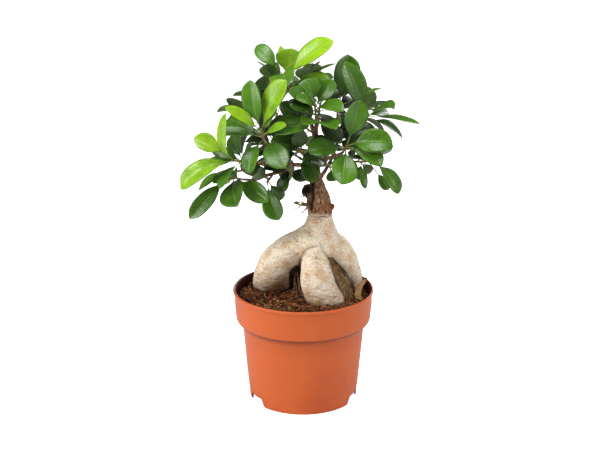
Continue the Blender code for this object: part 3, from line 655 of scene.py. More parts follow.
@dataclass(frozen=True)
class RootSkin(Finish):
    """Pale, smooth skin of the swollen roots: wrinkles, brown patches, pores, and painted shade in the
    creases.
    """

    body: tuple = ink(242, 230, 208)
    warm: tuple = ink(218, 188, 148)
    rough: float = 0.5

    def paint(
        self, wire: Wiring, shader: bpy.types.Node, place: bpy.types.NodeSocket, effects: Effects
    ) -> None:
        """Beige with tan clouds; masks stored on the mesh bring in brown, moss and painted crease shade.

        Args:
            wire: helper for the material's node tree.
            shader: the Principled shader.
            place: object coordinates.
            effects: groups that finishes share.
        """
        cloud = self.grouped(
            wire, effects.mottle, Place=place, Base=self.body, Patch=self.warm, Scale=95.0, Cover=0.33
        )
        lines_place = self.stretch(wire, place, 1.0, 1.0, 3.2)
        lines = wire.noise(lines_place, 150.0, 7.0, 0.7)
        color = wire.mix(wire.ramp(lines, 0.5, 0.7, 0.0, 0.3), cloud.outputs["Color"], ink(182, 146, 112))
        fleck = wire.ramp(wire.noise(place, 520.0, 7.0, 0.85), 0.47, 0.57, 0.0, 0.5)
        color = wire.mix(fleck, color, ink(184, 140, 100))
        speck = wire.ramp(wire.noise(place, 1050.0, 5.0, 0.75), 0.55, 0.66)
        color = wire.mix(wire.math("MULTIPLY", speck, 0.6), color, ink(136, 94, 64))
        brown = wire.math(
            "MULTIPLY", wire.value("brown"), wire.ramp(wire.noise(lines_place, 240.0, 7.0, 0.78), 0.4, 0.64)
        )
        color = wire.mix(brown, color, ink(166, 112, 60))
        pores = wire.node(
            "ShaderNodeTexVoronoi", Vector=self.stretch(wire, place, 1.0, 1.0, 1.7), Scale=190.0
        )
        pick = wire.math(
            "GREATER_THAN",
            wire.node("ShaderNodeSeparateColor", Color=pores.outputs["Color"]).outputs[0],
            0.62,
        )
        spot = wire.math("MULTIPLY", wire.ramp(pores.outputs["Distance"], 0.16, 0.07), pick)
        color = wire.mix(wire.math("MULTIPLY", spot, 0.6), color, ink(112, 76, 50))
        moss = wire.math(
            "MULTIPLY", wire.value("moss"), wire.ramp(wire.noise(place, 420.0, 5.0, 0.7), 0.26, 0.5)
        )
        color = wire.mix(
            moss,
            color,
            wire.mix(
                wire.ramp(wire.noise(place, 620.0, 5.0, 0.7), 0.42, 0.58), ink(84, 58, 32), ink(176, 150, 92)
            ),
        )
        fringe = wire.math(
            "ADD",
            wire.value("fringe"),
            wire.math("SUBTRACT", wire.noise(self.stretch(wire, place, 1.0, 1.0, 0.5), 420.0, 5.0, 0.7), 0.5),
        )
        color = wire.mix(wire.ramp(fringe, 0.42, 0.62), color, ink(134, 94, 64))
        # Painted shade: the crease value darkens the creases, the recess edges and the gap left of the front
        # root, and darkens towards the soil line.
        color = wire.mix(wire.value("crease"), color, ink(36, 22, 13))
        wire.feed(shader.inputs["Base Color"], color)
        wire.feed(
            shader.inputs["Roughness"], wire.math("ADD", wire.math("MULTIPLY", lines, 0.3), self.rough - 0.12)
        )
        grain = self.grouped(wire, effects.grain, Place=lines_place, Scale=420.0, Coarse=0.3)
        height = wire.math("SUBTRACT", grain.outputs["Height"], wire.math("MULTIPLY", spot, 0.5))
        self.bump(wire, shader, height, 1.0)


@dataclass(frozen=True)
class Bark(Finish):
    """Rough brown bark, flaking upright; knobs reddish; the stub's sawn end is painted dark as a shaded
    hollow, and the trunk's left side gets painted shade.
    """

    body: tuple = ink(162, 114, 78)
    dark: tuple = ink(70, 44, 28)
    shine: float = 0.15
    upright: float = 0.28
    rough: float = 0.84

    def paint(
        self, wire: Wiring, shader: bpy.types.Node, place: bpy.types.NodeSocket, effects: Effects
    ) -> None:
        """Dark cracks between lighter flakes.

        Args:
            wire: helper for the material's node tree.
            shader: the Principled shader.
            place: object coordinates.
            effects: groups that finishes share; not used.
        """
        tall = self.stretch(wire, place, 1.0, 1.0, self.upright)
        cracks = wire.noise(tall, 620.0, 7.0, 0.66)
        color = wire.mix(wire.ramp(cracks, 0.38, 0.56), self.dark, self.body)
        pale = wire.ramp(wire.noise(tall, 900.0, 5.0, 0.65), 0.48, 0.6)
        color = wire.mix(wire.math("MULTIPLY", pale, 0.8), color, ink(226, 190, 152))
        ragged = wire.math(
            "ADD", wire.value("fringe"), wire.math("SUBTRACT", wire.noise(tall, 500.0, 5.0, 0.7), 0.5)
        )
        color = wire.mix(wire.ramp(ragged, 0.4, 0.6), color, ink(206, 186, 158))
        color = wire.mix(wire.value("knob"), color, ink(138, 76, 46))
        # Painted shade from the stored value: the stub's end as a shaded hollow and the trunk's left side,
        # together with the dark split and a darkening towards the top.
        color = wire.mix(wire.value("scar"), color, ink(38, 26, 20))
        wire.feed(shader.inputs["Base Color"], color)
        self.bump(wire, shader, wire.math("ADD", cracks, wire.math("MULTIPLY", pale, 0.3)), 1.3)


@dataclass(frozen=True)
class Twig(Finish):
    """Thin wood, turning green towards the leaf stalks."""

    wood: tuple = ink(122, 88, 62)
    green: tuple = ink(126, 148, 62)
    rough: float = 0.62

    def paint(
        self, wire: Wiring, shader: bpy.types.Node, place: bpy.types.NodeSocket, effects: Effects
    ) -> None:
        """Brown with pale specks, mixed to green by the stored value."""
        cloud = self.grouped(
            wire, effects.mottle, Place=place, Base=self.wood, Patch=ink(84, 58, 42), Scale=700.0, Cover=0.42
        )
        speck = wire.ramp(wire.noise(place, 1500.0, 3.0), 0.62, 0.72)
        color = wire.mix(wire.math("MULTIPLY", speck, 0.6), cloud.outputs["Color"], ink(176, 146, 110))
        color = wire.mix(wire.value("stalk"), color, self.green)
        wire.feed(shader.inputs["Base Color"], color)
        grain = self.grouped(wire, effects.grain, Place=place, Scale=1800.0, Coarse=0.4)
        self.bump(wire, shader, grain.outputs["Height"], 0.35)


@dataclass(frozen=True)
class Leaf(Finish):
    """Waxy leaf: dark to young green by the stored tone, with midrib and side veins, and painted shade inside
    the crown.
    """

    dark: tuple = ink(32, 60, 10)
    middle: tuple = ink(74, 122, 20)
    young: tuple = ink(146, 190, 18)
    rough: float = 0.25
    shine: float = 0.42

    def paint(
        self, wire: Wiring, shader: bpy.types.Node, place: bpy.types.NodeSocket, effects: Effects
    ) -> None:
        """Colour by tone, cloud and vein; duller and paler on the underside; painted shade from the stored
        deep value.

        Args:
            wire: helper for the material's node tree.
            shader: the Principled shader.
            place: object coordinates.
            effects: groups that finishes share.
        """
        pair = wire.node(
            "ShaderNodeSeparateXYZ", Vector=wire.node("ShaderNodeUVMap", _uv_map="blade").outputs[0]
        )
        wobble = wire.noise(place, 160.0, 2.0)
        veins = self.grouped(wire, effects.veins, U=pair.outputs[0], V=pair.outputs[1], Wobble=wobble)
        tone = wire.value("tone")
        cloud = wire.math("MULTIPLY", wire.math("SUBTRACT", wire.noise(place, 110.0, 4.0, 0.6), 0.5), 0.5)
        shade = wire.math("ADD", tone, cloud, clamp=True)
        color = wire.mix(wire.ramp(shade, 0.0, 0.5), self.dark, self.middle)
        color = wire.mix(wire.ramp(shade, 0.45, 1.0), color, self.young)
        side = wire.math("MULTIPLY", veins.outputs["Side"], 0.1)
        color = wire.mix(side, color, ink(118, 150, 60))
        rib = wire.math(
            "MULTIPLY", veins.outputs["Midrib"], wire.math("ADD", wire.math("MULTIPLY", tone, 0.35), 0.22)
        )
        color = wire.mix(rib, color, ink(168, 188, 92))
        across = wire.math(
            "MULTIPLY", wire.math("ABSOLUTE", wire.math("SUBTRACT", pair.outputs[1], 0.5)), 2.0
        )
        rim = wire.math("MULTIPLY", wire.ramp(across, 0.88, 1.0), wire.value("rim"))
        color = wire.mix(rim, color, ink(206, 204, 84))
        under = wire.value("under")
        color = wire.mix(wire.math("MULTIPLY", under, 0.5), color, ink(112, 140, 76))
        spot = wire.ramp(wire.noise(place, 900.0, 3.0, 0.6), 0.68, 0.78)
        color = wire.mix(wire.math("MULTIPLY", spot, 0.35), color, ink(96, 84, 44))
        # Painted shade: leaves deep inside the crown are darkened by the deep value.
        color = wire.mix(wire.value("deep"), color, ink(10, 20, 4))
        wire.feed(shader.inputs["Base Color"], color)
        haze = wire.math("MULTIPLY", wire.noise(place, 300.0, 4.0), 0.16)
        dull = wire.math("ADD", wire.math("MULTIPLY", under, 0.25), wire.math("ADD", haze, self.rough - 0.08))
        wire.feed(shader.inputs["Roughness"], dull)
        fine = wire.math("MULTIPLY", wire.noise(place, 1300.0, 3.0), 0.35)
        height = wire.math(
            "SUBTRACT",
            wire.math("MULTIPLY", wire.noise(place, 210.0, 3.0), 1.2),
            wire.math("MULTIPLY", veins.outputs["Midrib"], 0.9),
        )
        height = wire.math("SUBTRACT", height, wire.math("MULTIPLY", veins.outputs["Side"], 0.45))
        self.bump(wire, shader, wire.math("ADD", height, fine), 0.17)


@dataclass(frozen=True)
class Dry(Finish):
    """Dry fibres, flakes and dead twigs, tinted by a stored value from dark to pale."""

    dark: tuple = ink(72, 42, 24)
    pale: tuple = ink(212, 166, 108)
    rough: float = 0.8

    def paint(
        self, wire: Wiring, shader: bpy.types.Node, place: bpy.types.NodeSocket, effects: Effects
    ) -> None:
        """Tint mixed with fine streaks."""
        streak = wire.math("MULTIPLY", wire.math("SUBTRACT", wire.noise(place, 900.0, 4.0), 0.5), 0.7)
        share = wire.math("ADD", wire.value("tint"), streak, clamp=True)
        color = wire.mix(share, self.dark, self.pale)
        color = wire.mix(wire.value("moss"), color, ink(104, 98, 44))
        wire.feed(shader.inputs["Base Color"], color)
        grain = self.grouped(wire, effects.grain, Place=place, Scale=1600.0, Coarse=0.4)
        self.bump(wire, shader, grain.outputs["Height"], 0.3)


class Palette:
    """All the finishes, made once."""

    def __init__(self) -> None:
        """Make the materials."""
        effects = Effects()
        self.pot = PotPlastic("pot_plastic").make(effects)
        self.peat = Peat("peat").make(effects)
        self.root = RootSkin("root_skin").make(effects)
        self.bark = Bark("bark").make(effects)
        self.bough = Bark(
            "bough_bark", body=ink(126, 92, 66), dark=ink(72, 50, 36), upright=0.7
        ).make(effects)
        self.twig = Twig("twig").make(effects)
        self.young_twig = Twig("young_twig", wood=ink(150, 128, 72)).make(effects)
        self.leaf = Leaf("leaf").make(effects)
        self.dry = Dry("dry_fibre").make(effects)
        self.white = Dry("perlite", dark=ink(170, 160, 150), pale=ink(238, 234, 226), rough=0.9).make(effects)


# ---- pot ------------------------------------------------------------------------------
def lathe(profile: list, segments: int) -> Surface:
    """Closed turned body; the first and last rows of the profile lie on the axis.

    Args:
        profile: (radius, height) rows in millimetres.
        segments: steps round the axis.

    Returns:
        The surface.
    """
    rows = np.asarray(profile, float)
    a = np.linspace(0, 2 * math.pi, segments, endpoint=False)
    inner = rows[1:-1]
    ring = np.stack(
        [inner[:, :1] * np.sin(a), -inner[:, :1] * np.cos(a), np.repeat(inner[:, 1:], segments, axis=1)], -1
    ).reshape(-1, 3)
    ends = np.array([[0, 0, rows[0, 1]], [0, 0, rows[-1, 1]]])
    faces = ring_faces(len(inner), segments, caps=False)
    first, last = len(ring), len(ring) + 1
    top = (len(inner) - 1) * segments
    faces += [[first, (j + 1) % segments, j] for j in range(segments)]
    faces += [[last, top + j, top + (j + 1) % segments] for j in range(segments)]
    return Surface(np.vstack([ring, ends]), faces)


@dataclass
class Pot:
    """Moulded cup with rounded edges, three foot notches and drain openings."""

    height: float = 97.5
    rim: float = 60.0
    collar: float = 57.6
    neck: float = 52.0
    foot: float = 46.2
    wall: float = 1.3
    notch_at: tuple = (-60.0, 69.5, 185.0)
    notch_half: float = 14.5
    notch_height: float = 7.0
    segments: int = 180

    def profile(self) -> list:
        """Outline of the wall, from the middle of the floor out, up, over the lip and back down inside."""
        f, n, c, r, h, w = self.foot, self.neck, self.collar, self.rim, self.height, self.wall
        belly = [(f + 1.15 + (n - 2.2 - f - 1.15) * t, 11.2 + 28.8 * t) for t in (0.25, 0.5, 0.75)]
        return [
            (0.0, 8.5), (f - w - 0.6, 8.5), (f - w - 0.1, 8.0), (f - w - 0.2, 0.35), (f - w, 0.05),
            (f - 0.5, 0.0), (f - 0.12, 0.12),
            (f, 0.5), (f + 0.3, 4.0), (f + 0.68, 9.9), (f + 0.78, 10.5), (f + 1.1, 10.9), (f + 1.16, 11.4),
            *belly,
            (n - 2.2, 40.0), (n - 1.1, 52.0), (n - 0.05, 64.2), (n + 0.15, 65.2), (n + 0.7, 65.9),
            (c - 2.9, 68.0), (c - 1.6, 69.5), (c - 0.6, 70.7),
            (c - 0.15, 71.6), (c, 72.6), (c + 1.0, 85.0), (r - 1.4, h - 4.0), (r - 1.15, h - 3.3),
            (r - 0.5, h - 2.8), (r - 0.12, h - 2.2),
            (r, h - 1.3), (r - 0.15, h - 0.65), (r - 0.5, h - 0.2), (r - 1.0, h), (r - 1.6, h - 0.2),
            (r - 2.1, h - 0.9), (r - 2.5, h - 2.2),
            (c + 0.9 - w, 84.0), (c - w - 0.3, 73.5), (n - w, 66.5), (n - 2.2 - w, 40.0),
            (f + 1.15 - w, 11.4), (f - w, 10.2), (0.0, 10.2),
        ]

    def wedge(self, at: float, low: float, high: float, radii: tuple, heights: tuple) -> bpy.types.Object:
        """Cutter on an arc of the foot with slanted sides and rounded corners.

        Args:
            at: its middle, in degrees round the pot from the front.
            low: half its width in degrees at the bottom.
            high: half its width in degrees at the top.
            radii: inner and outer radius.
            heights: bottom and top.

        Returns:
            A closed object.
        """
        steps = 5
        rings = []
        for z, half in (
            (heights[0], low),
            (heights[1] - 0.7, (low + 3 * high) / 4),
            (heights[1] - 0.2, high + 0.25),
            (heights[1], high - 0.5),
        ):
            a = np.radians(at + np.linspace(-half, half, steps))
            inner = np.stack([radii[0] * np.sin(a), -radii[0] * np.cos(a), np.full(steps, z)], 1)
            outer = np.stack([radii[1] * np.sin(a), -radii[1] * np.cos(a), np.full(steps, z)], 1)[::-1]
            rings.append(np.vstack([inner, outer]))
        points = np.vstack(rings) * MM
        mesh = bpy.data.meshes.new("cutter")
        mesh.from_pydata(points.tolist(), [], ring_faces(4, 2 * steps))
        shape = bpy.data.objects.new("cutter", mesh)
        bpy.context.scene.collection.objects.link(shape)
        tidy = bmesh.new()
        tidy.from_mesh(mesh)
        bmesh.ops.recalc_face_normals(tidy, faces=tidy.faces)
        tidy.to_mesh(mesh)
        tidy.free()
        return shape

    def shade(self, points: np.ndarray) -> np.ndarray:
        """How much painted shade each point gets: painted shadow under the collar, a little below the lip and
        in the notches.

        Args:
            points: points of the cup in millimetres.

        Returns:
            A share from 0 to 1 for each point.
        """
        z = points[:, 2]
        under = np.interp(z, (63.5, 65.2, 65.9, 68.0, 69.5, 70.7, 71.6), (0, 0.3, 0.22, 0.34, 0.8, 0.62, 0))
        lip = np.exp(-(((z - self.height + 3.4) / 0.35) ** 2)) * 0.35
        angle = np.degrees(np.arctan2(points[:, 0], -points[:, 1]))
        notch = np.zeros(len(points))
        for at in self.notch_at:
            off = np.abs((angle - at + 180) % 360 - 180)
            notch = np.maximum(
                notch, np.clip((self.notch_half + 2.5 - off) / 3, 0, 1) * np.clip((8.4 - z) / 1.2, 0, 1) * 0.4
            )
        speck = np.clip(layered_noise(points, 1.6, 13, 2) + 0.5, 0, 1)
        return np.clip(np.maximum(under, lip) + notch * speck, 0, 1) * (
            np.hypot(points[:, 0], points[:, 1]) > self.foot - 2
        )

    def build(self, palette: Palette) -> bpy.types.Object:
        """Turn the cup, cut the notches and the drains, and add the moulded roughness.

        Args:
            palette: the finishes.

        Returns:
            The riding piece.
        """
        body = lathe(self.profile(), self.segments)
        mesh = bpy.data.meshes.new("pot_cup")
        mesh.from_pydata((body.points * MM).tolist(), [], body.faces)
        piece = bpy.data.objects.new("pot_cup", mesh)
        bpy.context.scene.collection.objects.link(piece)
        cutters = []
        for at in self.notch_at:
            cutters.append(
                self.wedge(
                    at, self.notch_half + 0.6, self.notch_half - 5, (self.foot - 9, self.foot + 9),
                    (-1.0, self.notch_height),
                )
            )
            cutters.append(
                self.wedge(at, 7.5, 7.5, (self.foot - 8, self.foot - 2.2), (self.notch_height - 1, 11.2))
            )
        for cutter in cutters:
            cut = piece.modifiers.new("cut", "BOOLEAN")
            cut.operation = "DIFFERENCE"
            cut.solver = "EXACT"
            cut.object = cutter
        done = bpy.data.meshes.new_from_object(piece.evaluated_get(bpy.context.evaluated_depsgraph_get()))
        piece.modifiers.clear()
        piece.data = done
        bpy.data.meshes.remove(mesh)
        done.name = "pot_cup"
        for cutter in cutters:
            bpy.data.objects.remove(cutter)
        points, _ = read_points(done)
        radius = np.hypot(points[:, 0], points[:, 1])
        lip = np.clip(1 - (self.height - points[:, 2]) / 4.0, 0, 1)
        wave = layered_noise(points, 17.0, 3, 2) * 0.16 + lattice_noise(points, 3.0, 9) * 0.05 * lip
        out = np.stack(
            [points[:, 0], points[:, 1], np.zeros(len(points))], 1
        ) / np.maximum(radius, 1)[:, None]
        keep = (points[:, 2] > 12) & (radius < self.rim - 0.3)
        write_points(done, points + out * np.where(keep, wave, 0)[:, None])
        _, normals = read_points(done)
        # Inner-facing wall above the floor, which gets painted shade inside the pot.
        inside = ((normals * out).sum(1) < -0.3) & (points[:, 2] > 11)
        add_value(done, "inside", inside.astype(float))
        add_value(done, "low", np.clip(1 - points[:, 2] / 40.0, 0, 1))
        # Painted shadow under the collar and the lip and in the notches.
        add_value(done, "shade", self.shade(points))
        done.materials.clear()
        done.materials.append(palette.pot)
        for polygon in done.polygons:
            polygon.material_index = 0
        done.shade_smooth()
        done.set_sharp_from_angle(angle=math.radians(38))
        return settle(piece, ("pot",))


# ---- soil -----------------------------------------------------------------------------
@dataclass
class Soil:
    """Peat fill with an uneven top, loose crumbs, fibres, chips and a few white grains."""

    level: float = 90.6
    edge: float = 56.3
    rings: int = 60
    segments: int = 150
    crumbs: int = 1100
    fibres: int = 620
    whites: int = 16

    def top_height(self, x: np.ndarray, y: np.ndarray) -> np.ndarray:
        """Height of the peat: a low mound, lumps of three sizes, a little lower at the wall."""
        spots = np.stack([x, y, np.zeros_like(x)], 1)
        radius = np.hypot(x, y)
        lumps = layered_noise(spots, 9.0, 21, 4) * 0.85 + np.abs(lattice_noise(spots, 2.2, 40)) * 0.5
        return self.level + lumps - 1.3 * np.clip((radius - 44) / 12.0, 0, 1) ** 2

    def build(self, palette: Palette) -> None:
        """Build the fill and everything that lies on it."""
        wall = [(0, 10.5), (43, 10.5), (48.6, 40), (50.2, 66), (55.9, 76), (self.edge, self.level - 3.0)]
        across = [(self.edge * (1 - t), self.level) for t in np.linspace(0.004, 0.985, self.rings)]
        grid = lathe(wall + across + [(0, self.level)], self.segments)
        top = grid.points[:, 2] > self.level - 1
        grid.points[top, 2] = self.top_height(grid.points[top, 0], grid.points[top, 1])
        grid.values["tint"] = np.clip(layered_noise(grid.points, 3.0, 77, 3) - 0.75, 0, 0.5)
        make_piece("peat_fill", grid, [palette.peat], ("soil",))
        make_piece("peat_crumbs", self.crumb_layer(), [palette.peat])
        make_piece("peat_fibres", self.fibre_layer(), [palette.dry])
        make_piece("white_grains", self.white_layer(), [palette.white])

    def spots(self, count: int, seed: int, reach: float) -> np.ndarray:
        """Random places on the top, spread evenly over the disc."""
        pick = np.random.default_rng(seed)
        radius = reach * np.sqrt(pick.random(count))
        a = pick.random(count) * 2 * math.pi
        x, y = radius * np.cos(a), radius * np.sin(a)
        return np.stack([x, y, self.top_height(x, y)], 1)

    def crumb_layer(self) -> Surface:
        """Flattened eight-sided lumps of peat in many sizes."""
        return self.lumps(self.crumbs, 5, (0.35, 2.0), 0.0, self.edge - 1.9)

    def white_layer(self) -> Surface:
        """Small white mineral grains."""
        return self.lumps(self.whites, 6, (0.3, 0.8), 0.8, self.edge - 3)

    def lumps(self, count: int, seed: int, sizes: tuple, tint: float, reach: float) -> Surface:
        """Rough lumps on the top.

        Args:
            count: how many.
            seed: picks places and shapes.
            sizes: smallest and largest radius in millimetres.
            tint: least value of the tint.
            reach: how far from the middle they lie.

        Returns:
            All lumps as one surface.
        """
        pick = np.random.default_rng(seed)
        places = self.spots(count, seed + 50, reach)
        size = sizes[0] + (sizes[1] - sizes[0]) * pick.random(count) ** 2.2
        shape = lathe([(0, -1), (0.78, -0.62), (1.0, 0.05), (0.7, 0.72), (0, 1)], 7)
        base = shape.points
        shift = 1 + 0.5 * (pick.random((count, len(base), 1)) - 0.5)
        turn = pick.random(count) * 6.28
        flat = np.stack(
            [1 + 0.7 * pick.random(count), 0.7 + 0.5 * pick.random(count), 0.45 + 0.4 * pick.random(count)], 1
        )
        cloud = base[None] * shift * flat[:, None] * size[:, None, None]
        c, s = np.cos(turn)[:, None], np.sin(turn)[:, None]
        spun = np.stack(
            [cloud[..., 0] * c - cloud[..., 1] * s, cloud[..., 0] * s + cloud[..., 1] * c, cloud[..., 2]], -1
        )
        points = (spun + places[:, None] + np.array([0, 0, 0.25]) * size[:, None, None]).reshape(-1, 3)
        faces = [[i + k * len(base) for i in face] for k in range(count) for face in shape.faces]
        tone = np.repeat(tint + np.where(pick.random(count) > 0.8, 0.95, 0.2) * pick.random(count), len(base))
        return Surface(points, faces, {"tint": tone})

    def fibre_layer(self) -> Surface:
        """Thin bent fibres lying on the top and curling up a little."""
        pick = np.random.default_rng(8)
        parts = []
        for place in self.spots(self.fibres, 61, self.edge - 2.5):
            length = 2.0 + 9.0 * pick.random() ** 2
            heading = pick.random() * 6.28
            bend = (pick.random() - 0.5) * 2.2
            t = np.linspace(-0.5, 0.5, 6)
            angle = heading + bend * t
            x = place[0] + np.cumsum(np.cos(angle)) * length / 6
            y = place[1] + np.cumsum(np.sin(angle)) * length / 6
            far = np.hypot(x, y) / (self.edge - 1.5)
            x, y = x / np.maximum(far, 1), y / np.maximum(far, 1)
            z = self.top_height(x, y) + 0.2 + pick.random() * 1.2 * np.cos(t * 3.0)
            thick = 0.09 + 0.2 * pick.random() ** 2
            one = tube(np.stack([x, y, z], 1), np.full(6, thick) * np.array([0.6, 1, 1, 1, 0.9, 0.5]), 4)
            one.values["tint"] = np.full(len(one.points), 0.1 + 0.9 * pick.random() ** 1.1)
            parts.append(one)
        return Surface.joined(parts)


# ---- root body ------------------------------------------------------------------------
def path_distance(points: np.ndarray, path: np.ndarray) -> np.ndarray:
    """Distance of each point to the nearest of a path's points, both in the same number of axes."""
    best = np.full(len(points), 1e9)
    for spot in path:
        best = np.minimum(best, ((points - spot) ** 2).sum(1))
    return np.sqrt(best)


@dataclass
class RootBody:
    """Swollen roots: one smooth body with a carved recess, creases, wrinkles and stored masks of stains, moss
    and painted shade.
    """

    voxel: float = 0.7
    heights: tuple = (90.0, 94.5, 100.6, 108.2, 117.2, 126.1, 136.6, 140.3, 143.7)
    front_edge: tuple = (36.0, 34.9, 32.7, 28.4, 24.8, 21.2, 16.2, 14.1, 13.3)
    right_edge: tuple = (43.5, 43.0, 41.4, 38.2, 32.4, 24.8, 17.2, 15.0, 13.6)
    left_crease: tuple = (
        (10.5, 140.2), (5.6, 138.8), (2.1, 136.6), (-0.7, 132.1), (-2.6, 125.4), (-3.1, 119.0)
    )
    stains: tuple = (
        (-31.6, 117.2, 5.5), (-37.5, 105.7, 6.5), (-41.7, 113.4, 4.5), (-23.1, 101.1, 7.0),
        (-10.0, 113.4, 4.5),
        (3.5, 97.0, 5.0), (14.0, 94.0, 5.5), (27.0, 98.0, 5.0), (1.0, 112.0, 4.0), (12.0, 131.0, 4.5),
        (30.0, 132.0, 4.0),
        (12.7, 159.3, 3.0), (20.0, 150.0, 4.5), (4.0, 150.0, 4.0), (-5.0, 134.0, 5.0), (40.0, 118.0, 3.5),
    )

    def recess(self, points: np.ndarray) -> tuple[np.ndarray, np.ndarray]:
        """How deep each point lies in the recess between front and right roots, and how near its edges."""
        ragged = layered_noise(points, 4.5, 61, 2) * 1.5
        left = np.interp(points[:, 2], self.heights, self.front_edge) + ragged * 0.4
        right = np.interp(points[:, 2], self.heights, self.right_edge) + ragged
        inner = np.minimum(points[:, 0] - left, right - points[:, 0])
        low = points[:, 2] < 143.7
        return np.clip(inner / 2.6, 0, 1) * low, np.exp(-((inner / 0.7) ** 2)) * low

    def build(self, palette: Palette) -> bpy.types.Object:
        """Remesh, carve, wrinkle and mask the roots.

        Args:
            palette: the finishes.

        Returns:
            The riding piece.
        """
        piece = remeshed("root_caudex", "roots", self.voxel, 4)
        points, normals = read_points(piece.data)
        front = np.clip(-normals[:, 1] * 2.0 + 0.8, 0, 1) * (points[:, 1] < 6)
        deep, edge = self.recess(points)
        away = path_distance(points[:, [0, 2]], spline(self.left_crease, 60))
        # The crease line and the recess edges are carved in, and they also get painted shade through the
        # crease value.
        crease = np.maximum(np.exp(-((away / 0.7) ** 2)) * 0.6, edge * 0.35) * front
        stretched = points * np.array([1, 1, 3.0])
        wrinkle = layered_noise(stretched, 13.0, 31, 3)
        lump = layered_noise(points, 13.0, 35, 2)
        dent = np.clip(lattice_noise(points * np.array([1, 1, 2.2]), 6.0, 38) - 0.45, 0, 1)
        rough = np.clip((points[:, 2] - 150) / 12, 0, 1)
        shift = lump * 0.5 + wrinkle * (0.14 + 0.3 * rough) - dent * 1.0 - crease * 1.3 - deep * front * 2.6
        shift = shift + deep * front * layered_noise(points, 2.4, 44, 2) * 0.9
        points = points + normals * shift[:, None]
        write_points(piece.data, points)
        _, normals = read_points(piece.data)
        stain = np.zeros(len(points))
        for x, z, reach in self.stains:
            stain = np.maximum(
                stain, np.exp(-(((points[:, 0] - x) ** 2 + (points[:, 2] - z) ** 2) / reach**2))
            )
        low = np.clip((106 - points[:, 2]) / 16, 0, 1)
        back = np.clip(points[:, 1] / 20, 0, 0.5)
        add_value(
            piece.data,
            "brown",
            np.clip(0.12 + stain * 0.75 + low * 0.5 + rough * 0.5 + dent * 0.7 + back, 0, 1),
        )
        # Painted shade in the dark gap between the left root and the front root.
        gap = np.clip(
            1 - np.abs(points[:, 0] + 6.5) / 6.5, 0, 1
        ) * np.clip((121 - points[:, 2]) / 8, 0, 1) * np.clip((points[:, 1] + 14) / 10, 0, 1)
        gap = np.clip(gap * 4.0, 0, 1) * (points[:, 1] < 24)
        add_value(piece.data, "moss", np.clip(deep * front * 1.2, 0, 1))
        add_value(piece.data, "fringe", np.clip((points[:, 2] - 160.5) / 7.0, -0.5, 0.55))
        # Darker towards the soil line.
        soil = np.clip((94.5 - points[:, 2]) / 3.0, 0, 1) * 0.7
        add_value(piece.data, "crease", np.clip(crease * 0.85 + soil + gap, 0, 1))
        piece.data.materials.clear()
        piece.data.materials.append(palette.root)
        piece.data.shade_smooth()
        return settle(piece, ("root_caudex",))


